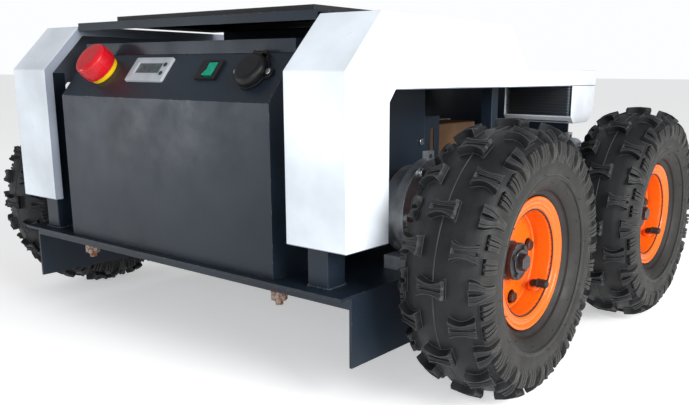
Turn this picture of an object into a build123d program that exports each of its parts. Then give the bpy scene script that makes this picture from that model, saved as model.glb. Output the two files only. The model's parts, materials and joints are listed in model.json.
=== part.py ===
"""Four-wheel outdoor robot chassis on pneumatic tyres, one STEP file per piece.

Millimetres, +Z up, the ground at z = 0. The front (control panel) faces -Y and
each wheel turns about X. "Right" is +X.
"""
from build123d import *
from math import atan2, cos, degrees, hypot, pi, radians, sin
import os

os.makedirs("parts", exist_ok=True)

# ---- layout ----
FRONT_AXLE_Y = -165.0
REAR_AXLE_Y = 175.0
AXLE_Z = 137.0
WHEEL_X = 347.0
CORNERS = {"fr": (1, FRONT_AXLE_Y), "fl": (-1, FRONT_AXLE_Y), "rr": (1, REAR_AXLE_Y),
           "rl": (-1, REAR_AXLE_Y)}

# ---- base plate: one folded sheet with front and rear lips and hanging skirts ----
BASE_HALF_W = 269.0
BASE_FRONT_Y = -322.0
BASE_REAR_Y = 322.0
DECK_Z = 118.0
BASE_T = 3.0
LIP_BOTTOM_Z = 104.0
SKIRT_BOTTOM_Z = 48.0
SKIRT_SETBACK = 15.0
PLATE_BOLT_X = 164.0
PLATE_BOLT_SETBACK = 28.0
LONG_NUT_BOTTOM_Z = 92.0

# ---- front box with its sloped control panel ----
BOX_HALF_W = 174.5
BOX_FRONT_Y = -312.0
BOX_REAR_Y = -58.0
BOX_T = 2.0
FACE_TOP_Z = 285.5
PANEL_ANGLE = 51.1
PANEL_L = 59.5
STRIP_H = 13.5
PANEL_T = 2.0
STRIP_FLANGE = 14.0
PANEL_Y = BOX_FRONT_Y + PANEL_L * cos(radians(PANEL_ANGLE))
PANEL_Z = FACE_TOP_Z + PANEL_L * sin(radians(PANEL_ANGLE))
BOX_TOP_Z = PANEL_Z + STRIP_H
CABLE_HOLE_R = 12.0

# ---- roof plate above the box, with an opening closed by the hinged lid ----
ROOF_HALF_W = 197.0
ROOF_FRONT_Y = -270.0
ROOF_TOP_Z = 370.5
ROOF_LIP = 9.0
ROOF_T = 2.0
HATCH_HALF_W = 138.0
HATCH_FRONT_Y = -220.0
HATCH_REAR_Y = -84.0
LID_HALF_W = 164.0
LID_FRONT_Y = -237.0
LID_TOP_Z = 379.0
LID_T = 2.0
HINGE_Y = -66.0
HINGE_R = 2.5
HINGE_Z = 373.3
HINGE_X = (-110.0, 110.0)
HINGE_LEAF_W = 30.0
HINGE_PIN_R = 1.2
BUFFER_R = 6.0

# ---- white side covers ----
COVER_IN_X = 199.0
COVER_OUT_X = 272.0
COVER_T = 2.0
COVER_FRONT_Y = -318.0
COVER_LEG_Z = 157.5
COVER_BEVEL_Z = 315.0
COVER_BEVEL_Y = -268.0
COVER_TOP_Z = 367.0
COVER_TOP_REAR_Y = -36.0
COVER_SLOPE_Y = 12.0
COVER_STRIP_Z = 319.0
COVER_REAR_Y = 212.0
COVER_LEG_REAR_Y = -256.0
COVER_ARCH_Z = 288.0
COVER_BEAM_Y = -247.0
COVER_BEAM_Z = 299.0
COVER_RETURN = 11.0

# ---- square posts that carry the covers and the rear deck ----
POST_IN_X = 215.5
POST_W = 25.0
POST_D = 25.0
POST_WALL = 2.0
FRONT_POST_Y = -307.0
REAR_POST_Y = 8.0
REAR_POST_W = 15.0

# ---- rear deck and its back wall ----
REAR_DECK_HALF_W = 197.0
REAR_DECK_FRONT_Y = -54.0
REAR_WALL_Y = 300.0
REAR_DECK_T = 3.0
REAR_DECK_Z = 316.0
PAYLOAD_X = 240.0
PAYLOAD_Y = 160.0
PAYLOAD_HOLE_R = 3.3
PAYLOAD_MID_Y = 130.0

# ---- finned pods under the rear of each cover ----
POD_IN_X = 172.0
POD_FRONT_Y = 138.0
POD_REAR_Y = 210.0
POD_BOTTOM_Z = 250.5
POD_TOP_Z = COVER_BEAM_Z
POD_CORNER_R = 26.0
POD_T = 2.0
FIN_PITCH = 4.0
FIN_T = 1.6
FIN_DEPTH = 12.0

# ---- drive units: round gearbox with an offset output shaft ----
GEARBOX_R = 46.0
GEARBOX_FLANGE_R = 55.0
GEARBOX_FLANGE_T = 6.0
GEARBOX_Z = 174.5
GEARBOX_IN_X = 229.0
GEARBOX_OUT_X = 261.0
COVER_PLATE_T = 5.0
LUG_HALF_W = 6.0
LUG_TOP_R = 62.0
LUG_HOLE_R = 3.2
MOTOR_R = 40.0
MOTOR_IN_X = 179.0
SHAFT_R = 10.0
SHAFT_IN_X = 236.0
SHAFT_OUT_X = 361.0
SHAFT_PLAY = 0.05
MOTOR_BOLT_R = 3.0
MOTOR_BOLT_RING = 49.0
FOOT_HALF_L = 42.0

# ---- wheels ----
TYRE_R = 137.0
CARCASS_R = 128.5
TYRE_HALF_W = 44.0
BEAD_R = 51.0
BEAD_HALF_W = 25.0
RIM_LIP_R = 64.8
RIM_LIP_HALF_W = 28.5
RIM_T = 2.2
DISC_X = -0.5
DISC_T = 3.5
HUB_BARREL_R = 17.0
HUB_FLANGE_R = 46.0
HUB_PLATE_R = 18.5
HUB_OUT = 15.0
LUG_PITCHES = 12
LUG_ROUND = 21.0
CENTRE_LUG_W = 31.0
SIDE_LUG_W = 17.0
SIDE_LUG_X = 27.0
SHOULDER_LUG_X = 37.0
SHOULDER_LUG_W = 13.0
WHEEL_BOLT_RING = 40.0
WHEEL_BOLT_R = 4.0
WHEEL_BOLT_COUNT = 4
WHEEL_BOLT_START = 12.0
VALVE_RING = 41.0
VALVE_ANGLE = -131.0

# ---- controls on the sloped panel: (x, distance up the slope) ----
ESTOP_AT = (-117.0, 36.0)
ESTOP_HEAD_R = 21.0
ESTOP_HEAD_TOP = 27.0
ESTOP_SKIRT = (6.0, 19.0)
ESTOP_RING_R = 18.5
ESTOP_RING_H = 10.0
ESTOP_NECK_R = 9.0
ESTOP_PIVOT_R = 6.0
ESTOP_HOLE_R = 11.2
ESTOP_BARREL = 30.3
METER_AT = (-32.5, 37.5)
METER_SIZE = (65.0, 32.0)
METER_WINDOW = (41.0, 13.0)
METER_WINDOW_AT = (-1.0, 1.5)
METER_BUTTONS = ((26.0, 5.5), (26.0, -6.0))
ROCKER_AT = (67.5, 37.5)
ROCKER_SIZE = (31.0, 24.0)
ROCKER_LENS = (13.0, 18.0)
ROCKER_LENS_DX = 2.0
SOCKET_AT = (134.0, 34.0)
SOCKET_FLANGE_R = 19.5
SOCKET_EAR = (53.0, 13.0)
SOCKET_SCREW_DX = 22.0
SOCKET_BORE_R = 12.0
SOCKET_CAP_R = 18.0
SOCKET_HINGE_UP = 21.5
SOCKET_HINGE_H = 5.5

# ---- inside ----
BATTERY_SIZE = (250.0, 125.0, 130.0)
BATTERY_Y = 82.0
DRIVER_SIZE = (84.0, 110.0, 34.0)
FIT = 0.3

panel_plane = Plane(
    origin=(0, BOX_FRONT_Y, FACE_TOP_Z),
    x_dir=(1, 0, 0),
    z_dir=(0, -sin(radians(PANEL_ANGLE)), cos(radians(PANEL_ANGLE))),
)


def box(x0, x1, y0, y1, z0, z1):
    """Block between two corners."""
    size = (abs(x1 - x0), abs(y1 - y0), abs(z1 - z0))
    return Pos((x0 + x1) / 2, (y0 + y1) / 2, (z0 + z1) / 2) * Box(*size)


def rod_x(x0, x1, y, z, radius):
    """Cylinder along X."""
    return Pos((x0 + x1) / 2, y, z) * Rot(0, 90, 0) * Cylinder(radius, abs(x1 - x0))


def rod_z(x, y, z0, z1, radius):
    """Cylinder along Z."""
    return Pos(x, y, (z0 + z1) / 2) * Cylinder(radius, abs(z1 - z0))


def slab_x(profile, x0, x1):
    """Solid between two X planes from a (y, z) outline."""
    face = Plane.YZ * make_face(Polyline(*profile, close=True))
    return Pos(min(x0, x1), 0, 0) * extrude(face, abs(x1 - x0), dir=(1, 0, 0))


def turned(profile):
    """Solid of revolution about X from an (x, radius) outline."""
    return revolve(make_face(Polyline(*profile, close=True)), axis=Axis.X)


def inset_path(points, gap):
    """Open (y, z) path moved to its right-hand side, with mitred corners."""
    normals = []
    for (y0, z0), (y1, z1) in zip(points, points[1:]):
        length = hypot(y1 - y0, z1 - z0)
        normals.append(((z1 - z0) / length, -(y1 - y0) / length))
    moved = []
    for i, (y, z) in enumerate(points):
        a = normals[max(i - 1, 0)]
        b = normals[min(i, len(normals) - 1)]
        scale = gap / (1 + a[0] * b[0] + a[1] * b[1])
        moved.append((y + (a[0] + b[0]) * scale, z + (a[1] + b[1]) * scale))
    return moved


def folded_strip(points, gap, x0, x1):
    """Sheet that follows an open (y, z) path, on its right-hand side."""
    return slab_x(points + inset_path(points, gap)[::-1], x0, x1)


def tube_post(x0, x1, y0, y1, z0, z1):
    """Square tube standing on its end."""
    outer = box(x0, x1, y0, y1, z0, z1)
    return outer - box(x0 + POST_WALL, x1 - POST_WALL, y0 + POST_WALL, y1 - POST_WALL, z0 - 1, z1 + 1)


def on_panel(x, up, height, shape):
    """Shape placed on the sloped panel; its local z is the panel's normal."""
    return panel_plane * Pos(x, up, height) * shape


def both_sides(shape):
    """The shape and its mirror image across the middle plane."""
    return Compound(children=[shape, mirror(shape, about=Plane.YZ)])


def save(shape, node):
    """One STEP file for one piece, or for one group of identical pieces."""
    shape.label = node
    export_step(shape, f"parts/{node}.step")


# ---- chassis sheet metal ----

def base_plate():
    """Flat sheet whose lips and skirts hang a little inside its edge."""
    under = DECK_Z - BASE_T
    front, rear = BASE_FRONT_Y + SKIRT_SETBACK, BASE_REAR_Y - SKIRT_SETBACK
    plate = box(-BASE_HALF_W, BASE_HALF_W, BASE_FRONT_Y, BASE_REAR_Y, under, DECK_Z)
    for near, far in ((front, front + BASE_T), (rear - BASE_T, rear)):
        plate += box(-BASE_HALF_W, BASE_HALF_W, near, far, LIP_BOTTOM_Z, under)
    for side in (-1, 1):
        outer = side * BASE_HALF_W
        plate += box(outer - side * BASE_T, outer, front, rear, SKIRT_BOTTOM_Z, under)
    for x, y in plate_bolt_places():
        plate -= rod_z(x, y, under - 1, DECK_Z + 1, 4.1)
    return plate


def plate_bolt_places():
    """Where the hex bolts hold the front box and the rear wall to the base plate."""
    rows = (BASE_FRONT_Y + PLATE_BOLT_SETBACK, BOX_REAR_Y - 26, REAR_WALL_Y - 12)
    return [(side * PLATE_BOLT_X, y) for side in (-1, 1) for y in rows]


def front_box():
    side = [
        (BOX_FRONT_Y, DECK_Z), (BOX_FRONT_Y, FACE_TOP_Z), (PANEL_Y, PANEL_Z), (PANEL_Y, BOX_TOP_Z),
        (BOX_REAR_Y, BOX_TOP_Z), (BOX_REAR_Y, DECK_Z),
    ]
    shell = box(-BOX_HALF_W, BOX_HALF_W, BOX_FRONT_Y, BOX_FRONT_Y + BOX_T, DECK_Z, FACE_TOP_Z)
    foot = box(-BOX_HALF_W, BOX_HALF_W, BOX_FRONT_Y, BOX_FRONT_Y + 30, DECK_Z, DECK_Z + BOX_T)
    shell += foot
    for s in (-1, 1):
        shell += slab_x(side, s * (BOX_HALF_W - BOX_T), s * BOX_HALF_W)
        shell += box(s * (BOX_HALF_W - 30), s * BOX_HALF_W, BOX_FRONT_Y, BOX_REAR_Y, DECK_Z,
                     DECK_Z + BOX_T)
        shell += box(s * (BOX_HALF_W - 14), s * BOX_HALF_W, PANEL_Y + STRIP_FLANGE, BOX_REAR_Y - BOX_T,
                     BOX_TOP_Z - BOX_T, BOX_TOP_Z)
    for x, y in plate_bolt_places():
        shell -= rod_z(x, y, DECK_Z - 1, DECK_Z + BOX_T + 1, 4.1)
    for x, y, z in wall_screw_places():
        shell -= rod_x(x - 6, x + 6, y, z, 2.1)
    return shell


def wall_screw_places():
    """Screws through the box's side walls: (x, y, z)."""
    places = []
    for s in (-1, 1):
        for z in (150.0, 235.0, 320.0):
            places.append((s * BOX_HALF_W, BOX_REAR_Y - 8, z))
    return places


def control_panel():
    """Sloped sheet that carries the controls, and the folded strip that stands on its top edge."""
    inner_x = BOX_HALF_W - BOX_T
    slope = [(BOX_FRONT_Y, FACE_TOP_Z), (PANEL_Y, PANEL_Z)]
    panel = folded_strip(slope, PANEL_T, -inner_x, inner_x)
    panel -= box(-inner_x, inner_x, BOX_FRONT_Y - 1, BOX_FRONT_Y + BOX_T, FACE_TOP_Z - 20, FACE_TOP_Z)
    hole = Cylinder(ESTOP_HOLE_R, 20)
    panel -= on_panel(*ESTOP_AT, 0, hole)
    panel -= on_panel(*METER_AT, 0, Box(METER_SIZE[0] - 4, METER_SIZE[1] - 4, 20))
    panel -= on_panel(*ROCKER_AT, 0, Box(ROCKER_SIZE[0] - 4, ROCKER_SIZE[1] - 4, 20))
    panel -= on_panel(*SOCKET_AT, 0, Cylinder(SOCKET_BORE_R + 3.3, 20))
    for dx in (-SOCKET_SCREW_DX, SOCKET_SCREW_DX):
        panel -= on_panel(SOCKET_AT[0] + dx, SOCKET_AT[1], 0, Cylinder(1.7, 20))
    fold = [(PANEL_Y, PANEL_Z + FIT), (PANEL_Y, BOX_TOP_Z), (PANEL_Y + STRIP_FLANGE, BOX_TOP_Z)]
    return panel + folded_strip(fold, PANEL_T, -inner_x, inner_x)


def roof_and_rear_wall():
    """One folded sheet: the box's rear wall, bent forwards into the wider roof plate."""
    inner_x = BOX_HALF_W - BOX_T
    wall = box(-inner_x, inner_x, BOX_REAR_Y - BOX_T, BOX_REAR_Y, DECK_Z + BOX_T, ROOF_TOP_Z)
    for side in (-1, 1):
        edge = side * inner_x
        wall += box(edge - side * BOX_T, edge, BOX_REAR_Y - 16, BOX_REAR_Y - BOX_T, DECK_Z + BOX_T,
                    BOX_TOP_Z - BOX_T)
    wall += box(-ROOF_HALF_W, ROOF_HALF_W, ROOF_FRONT_Y, BOX_REAR_Y, ROOF_TOP_Z - ROOF_T, ROOF_TOP_Z)
    wall += box(-ROOF_HALF_W, ROOF_HALF_W, ROOF_FRONT_Y, ROOF_FRONT_Y + ROOF_T, ROOF_TOP_Z - ROOF_LIP,
                ROOF_TOP_Z)
    wall -= box(-HATCH_HALF_W, HATCH_HALF_W, HATCH_FRONT_Y, HATCH_REAR_Y, ROOF_TOP_Z - ROOF_T - 1,
                ROOF_TOP_Z + 1)
    wall -= Pos(0, BOX_REAR_Y, DECK_Z + 25) * Rot(90, 0, 0) * Cylinder(CABLE_HOLE_R, 3 * BOX_T)
    for x, y, z in wall_screw_places():
        wall -= rod_x(x - 8, x + 8, y, z, 2.1)
    return wall


def rear_deck():
    path = [
        (REAR_DECK_FRONT_Y, REAR_DECK_Z - 18), (REAR_DECK_FRONT_Y, REAR_DECK_Z),
        (REAR_WALL_Y, REAR_DECK_Z), (REAR_WALL_Y, DECK_Z), (REAR_WALL_Y - 24, DECK_Z),
    ]
    deck = folded_strip(path[:4], REAR_DECK_T, -REAR_DECK_HALF_W, REAR_DECK_HALF_W)
    deck += box(-REAR_DECK_HALF_W, REAR_DECK_HALF_W, REAR_WALL_Y - 24, REAR_WALL_Y - REAR_DECK_T, DECK_Z,
                DECK_Z + REAR_DECK_T)
    for x, y in plate_bolt_places():
        deck -= rod_z(x, y, DECK_Z - 1, DECK_Z + REAR_DECK_T + 1, 4.1)
    for sx in (-1, 1):
        for sy in (-1, 1):
            x = sx * PAYLOAD_X / 2
            y = PAYLOAD_MID_Y + sy * PAYLOAD_Y / 2
            deck -= rod_z(x, y, REAR_DECK_Z - 10, REAR_DECK_Z + 10, PAYLOAD_HOLE_R)
    return deck


def slotted_bracket():
    """Upright plate on the box's rear edge, with a long adjusting slot."""
    x0, x1 = BOX_HALF_W - BOX_T, BOX_HALF_W
    plate = box(x0, x1, BOX_REAR_Y, BOX_REAR_Y + 32, DECK_Z, 264)
    plate += box(x1 - 18, x1, BOX_REAR_Y + 2, BOX_REAR_Y + 32, DECK_Z, DECK_Z + BOX_T)
    slot = box(x0 - 1, x1 + 1, BOX_REAR_Y + 13, BOX_REAR_Y + 21, 222, 250)
    return plate - slot


def front_post():
    return tube_post(POST_IN_X, POST_IN_X + POST_W, FRONT_POST_Y, FRONT_POST_Y + POST_D, DECK_Z,
                     COVER_BEVEL_Z - 4)


def rear_post():
    top = COVER_STRIP_Z - COVER_T
    return tube_post(COVER_IN_X + COVER_RETURN + 2, COVER_IN_X + COVER_RETURN + 2 + REAR_POST_W,
                     REAR_POST_Y, REAR_POST_Y + REAR_POST_W, DECK_Z, top)


# ---- covers and pods ----

def cover_right():
    skin = [
        (COVER_FRONT_Y, COVER_LEG_Z), (COVER_FRONT_Y, COVER_BEVEL_Z), (COVER_BEVEL_Y, COVER_TOP_Z),
        (COVER_TOP_REAR_Y, COVER_TOP_Z), (COVER_SLOPE_Y, COVER_STRIP_Z), (COVER_REAR_Y, COVER_STRIP_Z),
        (COVER_REAR_Y, COVER_BEAM_Z),
    ]
    arch = [(COVER_BEAM_Y, COVER_BEAM_Z), (COVER_LEG_REAR_Y, COVER_ARCH_Z),
            (COVER_LEG_REAR_Y, COVER_LEG_Z)]
    cover = slab_x(skin + arch, COVER_OUT_X - COVER_T, COVER_OUT_X)
    cover += folded_strip(skin, COVER_T, COVER_IN_X, COVER_OUT_X - COVER_T)
    cover += folded_strip(skin, COVER_RETURN, COVER_IN_X, COVER_IN_X + COVER_T)
    return cover


def pod_outline(gap):
    """Rounded-bottom (y, z) outline of a pod, moved inwards by the gap."""
    front, rear = POD_FRONT_Y, POD_REAR_Y - gap
    bottom = POD_BOTTOM_Z + gap
    radius = POD_CORNER_R - gap
    points = [(front, POD_TOP_Z), (front, bottom + 8), (front + 8, bottom)]
    for i in range(9):
        a = -pi / 2 + i * pi / 16
        points.append((rear - radius + radius * cos(a), bottom + radius + radius * sin(a)))
    points.append((rear, POD_TOP_Z))
    return points


def pod_shell():
    shell = slab_x(pod_outline(0), POD_IN_X, COVER_OUT_X)
    inner = slab_x(pod_outline(POD_T), POD_IN_X + POD_T, COVER_OUT_X - POD_T)
    mouth = box(POD_IN_X + POD_T, COVER_OUT_X - POD_T, POD_FRONT_Y - 1, POD_FRONT_Y + 20,
                POD_BOTTOM_Z + 12, POD_TOP_Z + 1)
    return shell - inner - mouth


def pod_fins():
    """Heat sink: a block with level fins that face forwards."""
    x0, x1 = POD_IN_X + POD_T, COVER_OUT_X - POD_T
    back = POD_FRONT_Y + FIN_DEPTH
    sink = box(x0, x1, back, back + 8, POD_BOTTOM_Z + 12, POD_TOP_Z)
    z = POD_BOTTOM_Z + 12
    while z + FIN_T <= POD_TOP_Z:
        sink += box(x0, x1, POD_FRONT_Y + 1, back, z, z + FIN_T)
        z += FIN_PITCH
    return sink


# ---- lid ----

def lid_hinge_fixed():
    """Hinge leaves on the roof, each with its middle knuckle and its pin."""
    leaves = []
    half = HINGE_LEAF_W / 2
    for x in HINGE_X:
        leaf = box(x - half, x + half, HINGE_Y + HINGE_R + FIT, BOX_REAR_Y, ROOF_TOP_Z, ROOF_TOP_Z + 1.5)
        knuckle = rod_x(x - 5, x + 5, HINGE_Y, HINGE_Z, HINGE_R)
        web = box(x - 5, x + 5, HINGE_Y, HINGE_Y + HINGE_R + 1, ROOF_TOP_Z, ROOF_TOP_Z + 1.5)
        pin = rod_x(x - half, x + half, HINGE_Y, HINGE_Z, HINGE_PIN_R)
        leaves.append(leaf + knuckle + web + pin)
    return Compound(children=leaves)


def top_lid():
    """Shallow tray that closes the roof's opening, with the hinge's outer knuckles."""
    under = LID_TOP_Z - LID_T
    lip_z = ROOF_TOP_Z + FIT
    lid = box(-LID_HALF_W, LID_HALF_W, LID_FRONT_Y, HINGE_Y, under, LID_TOP_Z)
    lid += box(-LID_HALF_W, LID_HALF_W, LID_FRONT_Y, LID_FRONT_Y + LID_T, lip_z, LID_TOP_Z)
    for side in (-1, 1):
        edge = side * LID_HALF_W
        lid += box(edge - side * LID_T, edge, LID_FRONT_Y, HINGE_Y - 6, lip_z, LID_TOP_Z)
    lid += box(-LID_HALF_W, LID_HALF_W, HINGE_Y - 8, HINGE_Y - 6, lip_z, LID_TOP_Z)
    for x in HINGE_X:
        for side in (-1, 1):
            near, far = x + side * (5 + FIT), x + side * HINGE_LEAF_W / 2
            lid += rod_x(near, far, HINGE_Y, HINGE_Z, HINGE_R)
            lid += box(near, far, HINGE_Y - HINGE_R, HINGE_Y, HINGE_Z, LID_TOP_Z)
        bore_end = HINGE_LEAF_W / 2 + 1
        lid -= rod_x(x - bore_end, x + bore_end, HINGE_Y, HINGE_Z, HINGE_PIN_R + SHAFT_PLAY)
    return lid


def lid_buffers():
    """Two rubber buffers on the roof that hold the closed lid up."""
    top = LID_TOP_Z - LID_T - FIT
    return both_sides(rod_z(LID_HALF_W - LID_T - BUFFER_R - 3, LID_FRONT_Y + 10, ROOF_TOP_Z, top,
                            BUFFER_R))


# ---- drive units ----

def ring_places(radius, count, start=0.0):
    """Places round a circle as (y, z) offsets."""
    angles = [radians(start + i * 360 / count) for i in range(count)]
    return [(radius * cos(a), radius * sin(a)) for a in angles]


def gearbox_housing(axle_y):
    """Round casting with a wider flange, a lifting lug on top and a foot."""
    face = GEARBOX_OUT_X - COVER_PLATE_T
    flange = face - GEARBOX_FLANGE_T
    body = rod_x(GEARBOX_IN_X, face, axle_y, GEARBOX_Z, GEARBOX_R)
    body += rod_x(flange, face, axle_y, GEARBOX_Z, GEARBOX_FLANGE_R)
    body += box(flange, face, axle_y - LUG_HALF_W, axle_y + LUG_HALF_W, GEARBOX_Z, GEARBOX_Z + LUG_TOP_R)
    body += box(GEARBOX_IN_X, face, axle_y - FOOT_HALF_L, axle_y + FOOT_HALF_L, DECK_Z, DECK_Z + 14)
    body -= box(GEARBOX_IN_X - 1, face + 1, axle_y - 60, axle_y + 60, DECK_Z - 20, DECK_Z)
    body -= rod_x(GEARBOX_IN_X + 5, face + 1, axle_y, GEARBOX_Z, GEARBOX_R - 5)
    body += rod_x(GEARBOX_IN_X + 2, face, axle_y, AXLE_Z, SHAFT_R + 7)
    body -= rod_x(SHAFT_IN_X - FIT, face + 1, axle_y, AXLE_Z, SHAFT_R + SHAFT_PLAY)
    body -= rod_x(flange - 1, face + 1, axle_y, GEARBOX_Z + LUG_TOP_R - 6, LUG_HOLE_R)
    for dy, dz in flange_screw_offsets():
        body -= rod_x(flange - 1, face + 1, axle_y + dy, GEARBOX_Z + dz, MOTOR_BOLT_R)
    return body


def flange_screw_offsets():
    """Screws round the gearbox flange, clear of the lug at the top."""
    return ring_places(MOTOR_BOLT_RING, 6)


def gearbox_cover(axle_y):
    """Round face plate with the output shaft's boss low on it."""
    x0 = GEARBOX_OUT_X - COVER_PLATE_T
    plate = rod_x(x0, GEARBOX_OUT_X, axle_y, GEARBOX_Z, GEARBOX_FLANGE_R)
    plate += rod_x(x0, GEARBOX_OUT_X + 6, axle_y, AXLE_Z, SHAFT_R + 7)
    plate -= box(x0 - 1, GEARBOX_OUT_X + 8, axle_y - 60, axle_y + 60, DECK_Z - 20, DECK_Z)
    plate -= rod_x(x0 - 1, GEARBOX_OUT_X + 7, axle_y, AXLE_Z, SHAFT_R + SHAFT_PLAY)
    for dy, dz in flange_screw_offsets():
        plate -= rod_x(x0 - 1, GEARBOX_OUT_X + 1, axle_y + dy, GEARBOX_Z + dz, MOTOR_BOLT_R)
    return plate


def gearbox_screws(axle_y):
    screws = []
    for dy, dz in flange_screw_offsets():
        shank = rod_x(GEARBOX_OUT_X - 10, GEARBOX_OUT_X, axle_y + dy, GEARBOX_Z + dz, MOTOR_BOLT_R - 0.1)
        head = rod_x(GEARBOX_OUT_X, GEARBOX_OUT_X + 4, axle_y + dy, GEARBOX_Z + dz, 4.8)
        screws.append(shank + head)
    return screws


def motor_can(axle_y):
    can = rod_x(MOTOR_IN_X, GEARBOX_IN_X, axle_y, GEARBOX_Z, MOTOR_R)
    rim = rod_x(GEARBOX_IN_X - 6, GEARBOX_IN_X, axle_y, GEARBOX_Z, MOTOR_R + 4)
    cap = rod_x(MOTOR_IN_X - 3, MOTOR_IN_X, axle_y, GEARBOX_Z, 16)
    return can + rim + cap


# ---- wheels, modelled on the right about x = 0 with the outside towards +X ----

def tyre_profile():
    """Half-outline of the carcass as (x, radius), outside then inside."""
    outside = [
        (-BEAD_HALF_W, BEAD_R), (-BEAD_HALF_W, 66), (-37, 73), (-TYRE_HALF_W, 92), (-41, 110),
        (-32, 123), (-14, CARCASS_R),
    ]
    inside = [(-20, BEAD_R), (-20, 67), (-32, 78), (-37, 92), (-34, 107), (-26, 116), (-12, 120)]
    over = outside + [(-x, r) for x, r in outside[::-1]]
    under = inside + [(-x, r) for x, r in inside[::-1]]
    return over + under[::-1]


def lug(angle, x, width, low, high):
    """One tread block that stands on the carcass at an angle round the wheel."""
    return Rot(angle, 0, 0) * Pos(x, 0, (low + high) / 2) * Box(width, LUG_ROUND, high - low)


def tyre():
    """Carcass with a centre row of blocks and staggered side and shoulder blocks."""
    body = turned(tyre_profile())
    step = 360 / LUG_PITCHES
    lugs = []
    for i in range(LUG_PITCHES):
        lugs.append(lug(i * step, 0, CENTRE_LUG_W, 122, TYRE_R - 0.5))
        for side in (-1, 1):
            lugs.append(lug((i + 0.5) * step, side * SIDE_LUG_X, SIDE_LUG_W, 118, 133))
            lugs.append(lug(i * step, side * SHOULDER_LUG_X, SHOULDER_LUG_W, 110, 125))
    return body + lugs


def inner_tube():
    """Tube inside the tyre, with its bent valve stem and cap."""
    outside = [(-18, 53), (-18, 68), (-29.5, 79), (-34.5, 92), (-31.5, 106), (-24, 114), (-11, 118)]
    inside = [(-16, 55.5), (-16, 69), (-27, 80), (-32, 92), (-29.5, 104.5), (-22.8, 111.6),
              (-10.5, 115.4)]
    over = outside + [(-x, r) for x, r in outside[::-1]]
    under = inside + [(-x, r) for x, r in inside[::-1]]
    skin = turned(over) - turned(under)
    stem = Pos(13, 0, (VALVE_RING + 55) / 2) * Cylinder(3.4, 55 - VALVE_RING)
    knee = Pos(13, 0, VALVE_RING) * Sphere(3.4)
    arm = rod_x(13, 20, 0, VALVE_RING, 3.4)
    cap = rod_x(20, 31, 0, VALVE_RING, 4.4)
    valve = Rot(VALVE_ANGLE, 0, 0) * (stem + knee + arm + cap)
    return skin + valve


def rim():
    """Deep-dish pressed rim: bead seats, rolled lips and a flat centre disc."""
    w, lip = BEAD_HALF_W, RIM_LIP_HALF_W
    seat = BEAD_R
    inner = seat - RIM_T
    outline = [
        (-lip, RIM_LIP_R), (-lip, seat - 1), (-lip + 3, inner), (lip - 3, inner), (lip, seat - 1),
        (lip, RIM_LIP_R),
        (w + 0.4, RIM_LIP_R), (w, RIM_LIP_R - 2), (w, seat), (-w, seat), (-w, RIM_LIP_R - 2),
        (-w - 0.4, RIM_LIP_R),
    ]
    body = turned(outline)
    disc = rod_x(DISC_X, DISC_X + DISC_T, 0, 0, inner + 0.5)
    disc -= rod_x(DISC_X - 1, DISC_X + DISC_T + 1, 0, 0, HUB_BARREL_R + SHAFT_PLAY)
    for dy, dz in ring_places(WHEEL_BOLT_RING, WHEEL_BOLT_COUNT, WHEEL_BOLT_START):
        disc -= rod_x(DISC_X - 1, DISC_X + DISC_T + 1, dy, dz, WHEEL_BOLT_R + SHAFT_PLAY)
    body += disc
    hole = Pos(13, 0, seat - 2) * Cylinder(4.5, 12)
    return body - Rot(VALVE_ANGLE, 0, 0) * hole


def hub():
    """Keyed hub: inner flange, barrel and the small outer plate."""
    body = rod_x(-44, HUB_OUT - 4, 0, 0, HUB_BARREL_R)
    body += rod_x(HUB_OUT - 4, HUB_OUT, 0, 0, HUB_PLATE_R)
    body += rod_x(DISC_X - 7, DISC_X, 0, 0, HUB_FLANGE_R)
    for dy, dz in ring_places(WHEEL_BOLT_RING, WHEEL_BOLT_COUNT, WHEEL_BOLT_START):
        body -= rod_x(DISC_X - 8, DISC_X + 1, dy, dz, WHEEL_BOLT_R)
    return body - rod_x(-60, HUB_OUT + 1, 0, 0, SHAFT_R)


def wheel_bolts():
    """Bolts that clamp the rim's disc to the hub, and the bolt in the shaft's end."""
    bolts = []
    for dy, dz in ring_places(WHEEL_BOLT_RING, WHEEL_BOLT_COUNT, WHEEL_BOLT_START):
        shank = rod_x(DISC_X - 7, DISC_X + DISC_T, dy, dz, WHEEL_BOLT_R)
        bolts.append(shank + hex_x(DISC_X + DISC_T, DISC_X + DISC_T + 5, dy, dz, 6.5))
    washer = rod_x(HUB_OUT, HUB_OUT + 2, 0, 0, 12)
    bolts.append(washer + hex_x(HUB_OUT + 2, HUB_OUT + 8, 0, 0, 7.5))
    return bolts


def hex_x(x0, x1, y, z, flat_r):
    """Hexagon head along X."""
    face = Plane.YZ * Pos(y, z) * RegularPolygon(flat_r, 6, major_radius=False)
    return Pos(x0, 0, 0) * extrude(face, x1 - x0, dir=(1, 0, 0))


def hex_z(x, y, z0, z1, flat_r):
    """Hexagon head along Z."""
    return Pos(x, y, z0) * extrude(RegularPolygon(flat_r, 6, major_radius=False), z1 - z0)


def shaft():
    x0, x1 = SHAFT_IN_X - WHEEL_X, SHAFT_OUT_X - WHEEL_X
    return rod_x(x0, x1, 0, 0, SHAFT_R)


def at_corner(shape, corner):
    """The right-hand wheel piece placed at one corner, turned round for the left."""
    side, axle_y = CORNERS[corner]
    if side < 0:
        shape = mirror(shape, about=Plane.YZ)
    return Pos(side * WHEEL_X, axle_y, AXLE_Z) * shape


def save_wheel_pieces():
    pieces = {"tyre": tyre(), "inner_tube": inner_tube(), "rim": rim(), "hub": hub(), "shaft": shaft()}
    for corner in CORNERS:
        for name, shape in pieces.items():
            save(at_corner(shape, corner), f"{name}_{corner}")
        bolts = [at_corner(bolt, corner) for bolt in wheel_bolts()]
        save(Compound(children=bolts), f"wheel_bolts_{corner}")


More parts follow.
